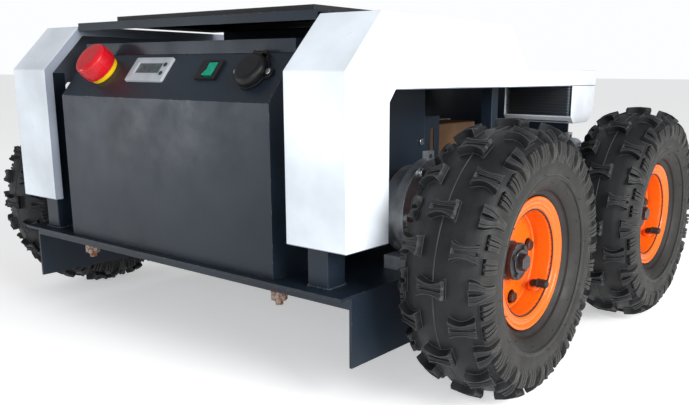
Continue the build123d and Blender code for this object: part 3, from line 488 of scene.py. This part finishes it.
CROWN_R = 128.6
CARCASS = [(0, CROWN_R), (12, 127.8), (24, 125.0), (32, 121.3), (38, 116.0), (41.6, 109.0), (43.4, 101.0),
           (43.6, 92.0), (41.6, 83.0), (37.2, 75.4), (33.6, 71.4), (32.4, 71.6), (30.4, 70.6), (28.4, 67.0),
           (25.6, 65.0), (25.0, 51.0)]
TREAD_PITCHES = 12
PITCH = 2 * math.pi / TREAD_PITCHES
BLOCK_STEPS = 10


def on_carcass(along):
    """Point and outward direction on the carcass, by its distance from the crown."""
    for (x0, r0), (x1, r1) in zip(CARCASS, CARCASS[1:]):
        length = math.hypot(x1 - x0, r1 - r0)
        if along <= length:
            t = along / length
            return (x0 + (x1 - x0) * t, r0 + (r1 - r0) * t), ((r0 - r1) / length, (x1 - x0) / length)
        along -= length
    return CARCASS[-1], (1.0, 0.0)


# Across a block: (place from edge to edge, level), where level 1 is its top, None the
# bottom of a groove and a negative level is buried in the carcass.
RIDGED = ((-1.07, -0.4), (-1.0, 0.70), (-0.92, 1.0), (-0.74, 1.0), (-0.62, 0.82), (-0.26, 0.82),
          (-0.16, None), (0.16, None), (0.26, 0.82), (0.62, 0.82), (0.74, 1.0), (0.92, 1.0),
          (1.0, 0.70), (1.07, -0.4))
TWICE_CUT = ((-1.05, -0.4), (-1.0, 0.80), (-0.94, 1.0), (-0.46, 1.0), (-0.40, None), (-0.24, None),
             (-0.18, 1.0), (0.18, 1.0), (0.24, None), (0.40, None), (0.46, 1.0), (0.94, 1.0),
             (1.0, 0.80), (1.05, -0.4))
BURIED = -1.5


def block(shape, stations, turn, side, across=RIDGED):
    """Raised rubber block across the tyre.

    A station is (distance from the crown, half width, height, depth of the groove).
    """
    rows = []
    for along, half, height, groove in stations:
        (x, r), (nx, nr) = on_carcass(abs(along))
        if along < 0:
            x, nx = -x, -nx
        row = []
        for place, level in across:
            if level is None:
                lift = height - groove
            elif level < 0 or height < 0:
                lift = BURIED
            else:
                lift = height * level
            rise = r + nr * lift
            a = turn + place * half / r
            row.append((side * (x + nx * lift), rise * math.sin(a), rise * math.cos(a)))
        rows.append(row)
    shape.grid(rows)


def waisted(start, end, wide, narrow, height, groove):
    """Stations of a dog-bone block, wide at its ends and narrow in the middle."""
    stations = [(start, wide, -1, 0), (start, wide, 0.72 * height, 0)]
    for i in range(BLOCK_STEPS + 1):
        t = i / BLOCK_STEPS
        half = narrow + (wide - narrow) * abs(2 * t - 1) ** 1.8
        deep = groove if 0.1 <= t <= 0.9 else 0.35 * groove
        stations.append((start + (0.03 + 0.94 * t) * (end - start), half, height, deep))
    return stations + [(end, wide, 0.72 * height, 0), (end, wide, -1, 0)]


FORK = ((32, 10.5, -1, 0), (32, 10.5, 5.5, 3), (33, 10.5, 7.0, 6.5), (37, 9.6, 7.0, 6.5), (41, 7.6, 6.6, 4.5),
        (44.5, 5.0, 6.0, 1.0), (49, 4.2, 5.0, 0), (55, 3.6, 3.2, 0), (60, 3.0, 0.6, 0), (61, 2.8, -1, 0))
WALL_BLOCK = ((42, 6.8, -1, 0), (42, 6.8, 4.8, 2.6), (43, 6.8, 5.4, 3.4), (47, 6.5, 4.6, 3.2),
              (52, 6.0, 3.0, 2.4), (57, 5.5, 1.3, 1.4), (60, 5.2, 0.25, 0.3), (62, 5.0, -0.6, 0))
WALL_BLOCK_TURNS = (0.35, 0.69)  # in pitches
VENT_ROWS = (80, 70)  # distances from the crown
TYRE_SEGMENTS = 144


def tread(shape):
    """Centre row, staggered side rows, forked shoulder blocks and sidewall blocks."""
    centre = waisted(-12.5, 12.5, wide=8.6, narrow=4.9, height=8.1, groove=3.4)
    side_block = waisted(15, 37, wide=8.6, narrow=5.0, height=7.8, groove=3.4)
    for i in range(TREAD_PITCHES):
        turn = i * PITCH
        block(shape, centre, turn, 1)
        for side in (-1, 1):
            block(shape, side_block, turn + PITCH / 2, side)
            block(shape, FORK, turn, side)
            for share in WALL_BLOCK_TURNS:
                block(shape, WALL_BLOCK, turn + share * PITCH, side, TWICE_CUT)


def vents(shape, rng):
    """Rubber hairs left by the mould's vents, on the sidewalls."""
    for side in (-1, 1):
        for i in range(2 * TREAD_PITCHES):
            (x, r), (nx, nr) = on_carcass(VENT_ROWS[i % 2])
            a = (i + 0.5 + rng.uniform(-0.15, 0.15)) * PITCH / 2
            tilt = rng.uniform(-0.6, 0.6)
            hair = Shape()
            hair.lathe([(0, 0.8), (1.4, 0.6), (2.6, 0.35), (2.7, 0.0)], 6)
            lean = Matrix.Rotation(tilt, 4, "Z")
            outward = Matrix.Rotation(math.atan2(-nr, nx), 4, "Y")
            spin = Matrix.Rotation(-a, 4, "X")
            flip = Matrix.Diagonal((side, 1, 1, 1))
            shape.join(hair, flip @ spin @ moved(x - 0.2, 0, r) @ outward @ lean)


def tyre_shape():
    """Carcass, tread, a moulded line on each sidewall, the mould's seam and its vents."""
    shape = Shape()
    half = eased(CARCASS, 3.0, 3)
    inside = [(20, 51), (20, 67), (32, 78), (37, 92), (34, 107), (26, 116), (12, 120), (0, 120.6)]
    ribs = [(-x, r) for x, r in half[::-1]] + half[1:]
    under = inside + [(-x, r) for x, r in inside[-2::-1]]
    shape.lathe(ribs + under + ribs[:1], TYRE_SEGMENTS)
    tread(shape)
    for side in (-1, 1):
        line = [(side * x, r) for x, r in ((41.9, 82.4), (43.1, 84.0), (42.9, 86.2), (41.6, 87.2))]
        shape.lathe(line, TYRE_SEGMENTS)
    seam = [(-0.5, CROWN_R - 0.3), (-0.35, CROWN_R + 0.6), (0.35, CROWN_R + 0.6), (0.5, CROWN_R - 0.3)]
    shape.lathe(seam, TYRE_SEGMENTS)
    vents(shape, random.Random(7))
    return shape


# ---- rims, hubs and valves ----

RIM_LOOP = [(26.6, 64.8), (28.5, 64.7), (28.9, 63.0), (27.6, 60.6), (26.6, 59.6), (26.4, 56.4),
            (27.2, 55.6), (26.2, 53.2), (22.0, 50.4), (10.0, 49.0), (-10.0, 48.8), (-22.0, 50.0),
            (-27.0, 53.5), (-28.7, 58.0), (-28.5, 64.7), (-26.6, 64.8), (-25.3, 62.0), (-25.0, 51.0),
            (25.0, 51.0), (25.3, 62.0)]
DISC_X = -0.5
DISC_T = 3.5
FLANGE_T = 7.0
BOLT_RING = 40.0
BOLT_START = math.radians(12)
BOLT_COUNT = 4
VALVE_TURN = math.radians(-131)
HUB_R = 17.0
HUB_FLANGE_R = 46.0
HUB_END_X = 15.0
BORE_R = 10.1
SET_SCREWS = 4
SET_SCREW_RING = 14.2


def wheel_bolt_places():
    turns = [BOLT_START + i * 2 * math.pi / BOLT_COUNT for i in range(BOLT_COUNT)]
    return [(BOLT_RING * math.cos(turn), BOLT_RING * math.sin(turn)) for turn in turns]


def flat_with_holes(outer, holes, x0, x1, bevel=0.5):
    """Plate across X cut from a filled curve; a hole is (y, z, radius)."""
    curve = bpy.data.curves.new("plate", "CURVE")
    curve.dimensions = "2D"
    curve.fill_mode = "BOTH"
    curve.extrude = (x1 - x0) / 2 - bevel
    curve.bevel_depth = bevel
    curve.bevel_resolution = 1
    for y, z, radius in [(0, 0, outer - bevel)] + [(y, z, radius + bevel) for y, z, radius in holes]:
        count = 64 if radius > 15 else 24
        spline = curve.splines.new("POLY")
        spline.points.add(count - 1)
        spline.use_cyclic_u = True
        for i, point in enumerate(spline.points):
            a = 2 * math.pi * i / count
            point.co = (y + radius * math.cos(a), z + radius * math.sin(a), 0, 1)
    maker = bpy.data.objects.new("plate", curve)
    bpy.context.scene.collection.objects.link(maker)
    bpy.context.view_layer.update()
    mesh = bpy.data.meshes.new_from_object(maker.evaluated_get(bpy.context.evaluated_depsgraph_get()))
    middle = (x0 + x1) / 2
    shape = Shape()
    across = [(v.co.z + middle, v.co.x, v.co.y) for v in mesh.vertices]
    shape.add(across, [tuple(p.vertices) for p in mesh.polygons])
    bpy.data.objects.remove(maker)
    return shape


def rim_shape():
    """Rim, its disc with the bolt holes, the weld between them and the valve's boss."""
    shape = closed_lathe(RIM_LOOP, 1.1, 96)
    holes = [(0, 0, 17.3)] + [(y, z, 7.2) for y, z in wheel_bolt_places()]
    shape.join(flat_with_holes(49.2, holes, DISC_X, DISC_X + DISC_T))
    weld = [(DISC_X + DISC_T - 0.4, 46.6), (DISC_X + DISC_T + 1.6, 47.4), (DISC_X + DISC_T + 2.8, 49.4)]
    shape.lathe(weld, 96)
    boss = Shape()
    boss.lathe([(0, 7.5), (2.2, 6.6), (3.4, 5.0), (3.8, 3.6), (3.8, 0.0)], 24)
    inward = Matrix.Rotation(VALVE_TURN, 4, "X") @ moved(13, 0, 49.3) @ Matrix.Rotation(math.pi / 2, 4, "Y")
    shape.join(boss, inward)
    return shape


def hub_shape():
    """Flanged hub with a ring on its outer end and four small hexagon screws."""
    flange_back = DISC_X - FLANGE_T
    loop = [(-44, BORE_R), (-44, HUB_R), (flange_back, HUB_R), (flange_back, HUB_FLANGE_R),
            (DISC_X, HUB_FLANGE_R), (DISC_X, HUB_R), (3.4, 17.2), (4.2, 19.4), (5.6, 19.4), (6.4, HUB_R),
            (10, 16.6), (11, 18.5), (HUB_END_X, 18.5), (HUB_END_X, BORE_R)]
    shape = closed_lathe(loop, 0.6, 64)
    for i in range(SET_SCREWS):
        a = math.radians(65 + 360 / SET_SCREWS * i)
        screw = hexagon(2.6, HUB_END_X - 0.2, HUB_END_X + 2.6, 0.4)
        shape.join(screw, moved(0, SET_SCREW_RING * math.cos(a), SET_SCREW_RING * math.sin(a)))
    return shape


def wheel_bolt_shape():
    """Clamp bolts on the disc and the bolt in the shaft's end with its washer."""
    shape = Shape()
    face = DISC_X + DISC_T
    for y, z in wheel_bolt_places():
        bolt = hexagon(5.0, DISC_X, face + 4.2)
        bolt.lathe([(DISC_X - FLANGE_T, 0), (DISC_X - FLANGE_T, 3.9), (DISC_X + 1, 3.9)], 16)
        bolt.lathe([(DISC_X, 7.0), (DISC_X + 1.2, 7.0), (DISC_X + 1.4, 4.0)], 24)
        shape.join(bolt, moved(0, y, z))
    washer_top = HUB_END_X + 2
    shape.lathe([(HUB_END_X, 0), (HUB_END_X, 12), (HUB_END_X + 1.6, 12.2), (washer_top, 11.8),
                 (washer_top, 0)], 48)
    shape.join(hexagon(7.5, washer_top, washer_top + 6, 0.9))
    return shape


def inner_tube_shape():
    """The tube in the tyre, and its bent valve stem with a cap."""
    shape = Shape()
    skin = [(18, 53), (18, 68), (29.5, 79), (34.5, 92), (31.5, 106), (24, 114), (11, 118)]
    loop = skin + [(-x, r) for x, r in skin[::-1]]
    shape.lathe(eased(loop + loop[:1], 4.0), 96)
    valve = Shape()
    x, start_r, bend_r = 13, 45, 4
    turns = (0, 0.4, 0.8, 1.2, 1.57)
    bend = [(x + bend_r * (1 - math.cos(a)), 0, start_r - bend_r * math.sin(a)) for a in turns]
    route = [(x, 0, 56), (x, 0, 50)] + bend + [(21, 0, start_r - bend_r)]
    tube_along(valve, route, 3.2)
    cap = [(19.5, 3.3), (19.6, 4.6), (21, 4.8), (21.4, 4.4), (29.2, 4.3), (30.6, 3.6), (31, 2.4), (31, 0)]
    cap_shape = Shape()
    cap_shape.lathe(eased(cap, 0.4), 32)
    valve.join(cap_shape, moved(0, 0, start_r - bend_r))
    shape.join(valve, Matrix.Rotation(VALVE_TURN, 4, "X"))
    return shape


def tube_along(shape, route, radius, around=12):
    """Round tube along a route in the plane y = 0."""
    rows = []
    for i, point in enumerate(route):
        before, after = Vector(route[max(i - 1, 0)]), Vector(route[min(i + 1, len(route) - 1)])
        ahead = (after - before).normalized()
        across = Vector((0, 1, 0))
        lift = ahead.cross(across)
        row = []
        for k in range(around + 1):
            a = 2 * math.pi * k / around
            row.append(Vector(point) + across * radius * math.cos(a) + lift * radius * math.sin(a))
        rows.append(row)
    shape.grid(rows)


SIDEWALL_TOP_R = 117.0


def on_sidewall(place):
    """True on the smooth flank of a tyre, below the shoulder blocks' tops."""
    radius = math.hypot(place.y, place.z) / MM
    return abs(place.x) / MM > 27 and radius + 0.55 * (44 - abs(place.x) / MM) < SIDEWALL_TOP_R


def make_wheels():
    makers = {"tyre": (tyre_shape, 38), "inner_tube": (inner_tube_shape, 40), "rim": (rim_shape, 35),
              "hub": (hub_shape, 35), "wheel_bolts": (wheel_bolt_shape, 30)}
    for kind, (maker, angle) in makers.items():
        shape = maker()
        for corner in WHEELS:
            node_name = f"{kind}_{corner}"
            piece = shape.piece(node_name + "_look", SLOT_OF[node_name], at_wheel(corner), angle)
            if kind == "tyre":
                middle = Vector(JOINTS[f"wheel_{corner}_spin"]["pos_m"])
                repaint(piece, "tyre_sidewall", lambda face: on_sidewall(face.center - middle))
            finish_piece(piece, node_name)
    for corner in WHEELS:
        stand_in(f"shaft_{corner}", 0.0008)


# ---- control panel pieces ----

INWARD = Vector(JOINTS["stop_press"]["axis"])


def on_panel(place):
    """Local X along the panel's normal, Y to the robot's right, Z up the slope."""
    outward = -INWARD
    right = Vector((1, 0, 0))
    up = outward.cross(right)
    turn = Matrix((outward, right, up)).transposed().to_4x4()
    return Matrix.Translation(place) @ turn


def slab(shape, width, height, x0, x1, corner=1.5, edge=0.6, centre=(0, 0)):
    """Rounded rectangular slab along X with a softened outer edge."""
    def ring(x, inset):
        points = []
        for k, (sy, sz) in enumerate(((1, 1), (-1, 1), (-1, -1), (1, -1))):
            for i in range(5):
                a = math.pi / 2 * (k + i / 4)
                y = sy * (width / 2 - corner) + (corner - inset) * math.cos(a)
                z = sz * (height / 2 - corner) + (corner - inset) * math.sin(a)
                points.append((x, centre[0] + y, centre[1] + z))
        return points + points[:1]

    rows = [ring(x0, 0), ring(x1 - edge, 0), ring(x1 - 0.3 * edge, 0.3 * edge), ring(x1, edge)]
    shape.grid(rows)
    shape.add(rows[-1][:-1], [tuple(range(len(rows[-1]) - 1))])
    shape.add(rows[0][:-1], [tuple(range(len(rows[0]) - 1))])


STOP_GRIPS = 18
STOP_HEAD_R = 21.0
STOP_BARREL_R = 10.8
STOP_BORE_R = 9.2


def estop_pieces():
    """Red head with grip ribs, and the yellow ring with its barrel."""
    place = on_panel(JOINTS["stop_twist"]["pos_m"])
    head = closed_lathe([(6, 19.2), (6, 20.6), (15, STOP_HEAD_R), (24.0, 20.4), (26.6, 16.8), (27.0, 10),
                         (27.0, 0.01), (18, 0.01), (17, 19.2)], 1.4)
    for i in range(STOP_GRIPS):
        a = 2 * math.pi * i / STOP_GRIPS
        grip = Shape()
        slab(grip, 1.3, 0.5, 8.5, 21.0, 0.2, 0.2)
        head.join(grip, Matrix.Rotation(a, 4, "X") @ moved(0, 0, STOP_HEAD_R))
    finish_piece(head.piece("estop_button_look", "button_red", place), "estop_button")
    ring = closed_lathe([(0, STOP_BORE_R), (0, 18.6), (7, 18.5), (10, 17.6), (10, 14.2), (3.5, 14.0),
                         (3.5, STOP_BORE_R)], 0.8)
    ring.lathe([(0.0, STOP_BORE_R), (0.0, STOP_BARREL_R), (-30.3, STOP_BARREL_R), (-30.3, STOP_BORE_R)], 48)
    finish_piece(ring.piece("estop_body_look", "collar_yellow", place), "estop_body")


def node_middle(name):
    low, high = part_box(name)
    return (Vector(low) + Vector(high)) / 2


SEGMENTS = {"0": "abcdef", "1": "bc", "2": "abged", "4": "fgbc", "6": "afgedc"}
# Each segment's place across and up, and 1 where it lies flat.
SEGMENT_PLACES = {"a": (0, 2, 1), "b": (1, 1, 0), "c": (1, -1, 0), "d": (0, -2, 1), "e": (-1, -1, 0),
                  "f": (-1, 1, 0), "g": (0, 0, 1)}


def digits(shape, text, left, height, x):
    """Seven-segment figures on a plane across X."""
    step = height * 0.62
    for n, figure in enumerate(text):
        middle = left + n * step
        for name in SEGMENTS.get(figure, ""):
            dy, dz, flat = SEGMENT_PLACES[name]
            centre = (middle + dy * height * 0.20, dz * height * 0.24)
            long, thin = height * 0.36, height * 0.09
            slab(shape, long if flat else thin, thin if flat else long, x, x + 0.12, thin * 0.4, 0.05, centre)


METER_SIZE = (65, 32)
METER_WINDOW = (41, 13)
METER_LOWER = -1.5
METER_THICK = 3.0
METER_CORNER = 2.2
SCREEN_MIDDLE = 1.75  # height of the CAD screen's middle above the sheet


def meter_pieces():
    """Panel meter: its case round a window, the screen, the figures and two keys."""
    screen = node_middle("meter_screen") + INWARD * SCREEN_MIDDLE * MM
    case_middle = node_middle("meter_case")
    place = on_panel(screen)
    offset = place.inverted() @ case_middle
    dy, dz = offset.y / MM, METER_LOWER
    case = Shape()
    frame_slab(case, METER_SIZE, METER_WINDOW, (dy, dz), 0, METER_THICK, METER_CORNER)
    slab(case, METER_SIZE[0] - 5, METER_SIZE[1] - 5, -16, 0.1, 1.0, 0.2, (dy, dz))
    finish_piece(case.piece("meter_case_look", "meter_grey", place), "meter_case")
    glass = Shape()
    slab(glass, METER_WINDOW[0] - 0.2, METER_WINDOW[1] - 0.2, 1.0, 2.2, 0.6, 0.15)
    finish_piece(glass.piece("meter_screen_look", "screen_dark", place), "meter_screen")
    figures = Shape()
    digits(figures, "24.6", -12.0, 7.6, 2.2)
    digits(figures, "12.0", 5.0, 5.0, 2.2)
    shown = figures.piece("meter_figures", "meter_button", place)
    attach(shown, "chassis")
    for name in ("meter_button_up", "meter_button_down"):
        stand_in(name, 0.0004)


def frame_slab(shape, size, hole, centre, x0, x1, corner):
    """Rounded slab with a rectangular window centred on the origin."""
    def ring(x, width, height, radius, middle):
        points = []
        for k, (sy, sz) in enumerate(((1, 1), (-1, 1), (-1, -1), (1, -1))):
            for i in range(5):
                a = math.pi / 2 * (k + i / 4)
                y = sy * (width / 2 - radius) + radius * math.cos(a)
                z = sz * (height / 2 - radius) + radius * math.sin(a)
                points.append((x, middle[0] + y, middle[1] + z))
        return points + points[:1]

    width, height = size
    # (depth below the front, how much smaller than the slab) and the same for the window's lip
    outside = ((x1 - x0, 0), (0.9, 0), (0.25, 0.5), (0, 1.8))
    window = ((0, 3.2, 0.9), (0.5, 2.6, 0.8), (0.5, 0.4, 0.5), (2.0, 0, 0.4))
    rows = [ring(x1 - down, width - less, height - less, corner, centre) for down, less in outside]
    rows += [ring(x1 - down, hole[0] + more, hole[1] + more, radius, (0, 0)) for down, more, radius in window]
    shape.grid(rows)


# ---- covers, pods and small fittings ----

def rounded_fin(shape, x0, x1, y0, y1, z0, z1, corner):
    """Level fin with rounded corners in plan."""
    def ring(z, inset):
        points = []
        for k, (sx, sy) in enumerate(((1, 1), (-1, 1), (-1, -1), (1, -1))):
            for i in range(6):
                a = math.pi / 2 * (k + i / 5)
                x = (x0 + x1) / 2 + sx * ((x1 - x0) / 2 - corner) + (corner - inset) * math.cos(a)
                y = (y0 + y1) / 2 + sy * ((y1 - y0) / 2 - corner) + (corner - inset) * math.sin(a)
                points.append((x, y, z))
        return points + points[:1]

    soft = min(0.5, (z1 - z0) / 3)
    rows = [ring(z0, soft), ring(z0 + soft, 0), ring(z1 - soft, 0), ring(z1, soft)]
    shape.grid(rows)
    for row in (rows[0], rows[-1]):
        shape.add(row[:-1], [tuple(range(len(row) - 1))])


FIN_STEP = 3.9
FIN_THICK = 2.0
POD_ROUND = 15.0
POD_INNER_X = 174.0
FIN_DEPTH = 22


def pod_fin_piece():
    """Both pods' ribbed fronts: fins that draw in towards the rounded bottom."""
    low, high = (Vector(v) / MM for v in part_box("pod_shells"))
    shape = Shape()
    fins = Shape()
    z = low.z + 1.5
    outer, inner = high.x - 2.6, POD_INNER_X
    while z + FIN_THICK < high.z:
        rise = z - low.z
        inset = POD_ROUND - math.sqrt(POD_ROUND ** 2 - max(POD_ROUND - rise, 0) ** 2)
        front, back = low.y + 0.5 * inset, low.y + FIN_DEPTH
        rounded_fin(fins, inner + inset, outer, front + 0.5, back, z, z + FIN_THICK, 6.0)
        rounded_fin(fins, inner + inset + 1.4, outer - 0.4, front + 1.9, back, z + FIN_THICK - 0.1,
                    z + FIN_STEP + 0.1, 5.0)
        z += FIN_STEP
    shape.join(fins)
    shape.join(fins, Matrix.Diagonal((-1, 1, 1, 1)))
    finish_piece(shape.piece("pod_fins_look", "fin_black", Matrix.Identity(4)), "pod_fins")


def repaint(piece, slot, chosen):
    """Gives the faces that a test picks a second material."""
    piece.data.materials.append(MATERIALS[slot])
    second = len(piece.data.materials) - 1
    for face in piece.data.polygons:
        if chosen(face):
            face.material_index = second


def faces_inward(face, side):
    """True on a cover's hidden faces: towards the robot's middle, down or back; these faces get painted
    shade.
    """
    backwards = face.normal.y > 0.5 and face.center.y < 0.1
    return side * face.normal.x < -0.5 or face.normal.z < -0.3 or backwards


POST_SIZE = 25.0
DROPS_PER_SIDE = 9


def weld_beads():
    """Rippled, painted weld round the foot of each front post."""
    low, high = (Vector(v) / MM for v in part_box("front_posts"))
    rng = random.Random(11)
    bead = Shape()
    for side in (-1, 1):
        inner, outer = side * (high.x - POST_SIZE), side * high.x
        corners = [(inner, low.y), (outer, low.y), (outer, high.y), (inner, high.y)]
        for (x0, y0), (x1, y1) in zip(corners, corners[1:] + corners[:1]):
            for i in range(DROPS_PER_SIDE):
                t = (i + 0.5) / DROPS_PER_SIDE
                drop = Shape()
                size = rng.uniform(2.0, 2.7)
                slant = 0.7 * size
                drop.lathe([(-size, 0), (-slant, slant), (0, size), (slant, slant), (size, 0)], 8)
                bead.join(drop, moved(x0 + (x1 - x0) * t, y0 + (y1 - y0) * t, low.z + rng.uniform(0.2, 0.9)))
    piece = bead.piece("post_welds", "body_paint", Matrix.Identity(4), 60)
    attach(piece, "chassis")


# ---- stage ----

def softbox(name, place, aim, size, power, colour=(1.0, 1.0, 1.0)):
    light = bpy.data.lights.new(name, "AREA")
    light.shape = "RECTANGLE"
    light.size, light.size_y = size
    light.energy = power
    light.color = colour
    lamp = bpy.data.objects.new(name, light)
    lamp.location = place
    lamp.rotation_euler = (Vector(aim) - Vector(place)).to_track_quat("-Z", "Y").to_euler()
    bpy.context.scene.collection.objects.link(lamp)


SKY_LIGHT = 0.40
FLOOR_GLOW = 0.42
FLOOR_REACH = 60


def make_stage():
    """Pale floor, soft boxes, and a sky that looks white but lights the scene more gently."""
    mesh = bpy.data.meshes.new("floor")
    far = FLOOR_REACH
    mesh.from_pydata([(-far, -far, 0), (far, -far, 0), (far, far, 0), (-far, far, 0)], [], [(0, 1, 2, 3)])
    floor = bpy.data.objects.new("floor", mesh)
    bpy.context.scene.collection.objects.link(floor)
    s = Surface("floor_paint")
    s.colour(s.ramp(s.noise(1.5, 2.0), (0.3, 0.90), (0.7, 0.93)))
    s.set(Roughness=0.9, Specular_IOR_Level=0.1)
    s.set(Emission_Color=(1.0, 1.0, 1.0, 1.0), Emission_Strength=FLOOR_GLOW)
    mesh.materials.append(s.material)
    world = bpy.data.worlds.new("studio")
    bpy.context.scene.world = world
    world.use_nodes = True
    back = world.node_tree.nodes["Background"]
    back.inputs["Color"].default_value = (0.97, 0.985, 1.0, 1.0)
    seen = world.node_tree.nodes.new("ShaderNodeLightPath").outputs["Is Camera Ray"]
    strength = world.node_tree.nodes.new("ShaderNodeMapRange")
    strength.inputs["To Min"].default_value = SKY_LIGHT
    strength.inputs["To Max"].default_value = 1.0
    world.node_tree.links.new(seen, strength.inputs["Value"])
    world.node_tree.links.new(strength.outputs["Result"], back.inputs["Strength"])
    softbox("key_right", (2.3, -0.5, 1.0), (0.2, 0.0, 0.2), (1.2, 1.2), 64, (1.0, 0.99, 0.97))
    softbox("left_card", (-1.45, -1.45, 0.22), (0.05, -0.3, 0.2), (0.30, 0.26), 3.6, (0.9, 0.95, 1.0))
    softbox("front_card", (0.95, -1.5, 0.55), (0.3, -0.3, 0.2), (0.6, 0.5), 7, (0.88, 0.94, 1.0))
    bpy.context.scene.view_settings.view_transform = "Standard"


def make_camera():
    """The photograph's viewpoint: turned 37 degrees to the right and 13 down."""
    camera = bpy.data.cameras.new("camera")
    camera.lens = 39.9
    camera.sensor_width = 36.0
    camera.shift_x = -0.0563
    camera.shift_y = 0.0658
    camera.clip_start = 0.02
    eye = bpy.data.objects.new("camera", camera)
    eye.location = (0.6924, -0.8141, 0.3137)
    turn, pitch, roll = 0.653, 0.225, 0.007
    eye.rotation_euler = (Matrix.Rotation(turn, 4, "Z") @ Matrix.Rotation(math.pi / 2 - pitch, 4, "X")
                          @ Matrix.Rotation(roll, 4, "Z")).to_euler()
    bpy.context.scene.collection.objects.link(eye)
    bpy.context.scene.camera = eye


# ---- plain CAD nodes, each with the width of its rounded edges in metres ----

EDGE_ROUNDS = {
    "base_plate": 0.0010, "front_box": 0.0009, "control_panel": 0.0012, "roof_and_rear_wall": 0.0008,
    "rear_deck": 0.0012, "slotted_brackets": 0.0006, "front_posts": 0.0016, "rear_posts": 0.0014,
    "cover_right": 0.0010, "cover_left": 0.0010, "top_lid": 0.0010, "lid_hinges": 0.0004,
    "lid_buffers": 0.0008, "pod_shells": 0.0012, "rocker_case": 0.0006, "rocker_switch": 0.0006,
    "socket_body": 0.0006, "socket_cap": 0.0006, "battery_pack": 0.0018, "battery_straps": 0.0005,
    "motor_drivers": 0.0006, "control_board": 0.0003, "plate_bolts": 0.0007, "machine_screws": 0.0006,
    "gearbox_housings": 0.0010, "gearbox_covers": 0.0010, "motors": 0.0012, "estop_plunger": 0.0005,
    "estop_contacts": 0.0006,
}
COVER_SIDES = {"cover_right": 1, "cover_left": -1}


def round_the_rest():
    """Rounded copies of the plain nodes; hidden faces of the covers and the roof's underside are repainted
    darker, as painted shade.
    """
    for node_name, width in EDGE_ROUNDS.items():
        piece = stand_in(node_name, width)
        if node_name in COVER_SIDES:
            side = COVER_SIDES[node_name]
            # Painted shade on the covers' inside faces.
            repaint(piece, "cover_inside_shade", lambda face: faces_inward(face, side))
        if node_name == "roof_and_rear_wall":
            # Painted shade under the roof.
            repaint(piece, "underside_shade", lambda face: face.normal.z < -0.5)


make_stage()
make_camera()
make_wheels()
estop_pieces()
meter_pieces()
pod_fin_piece()
weld_beads()
round_the_rest()
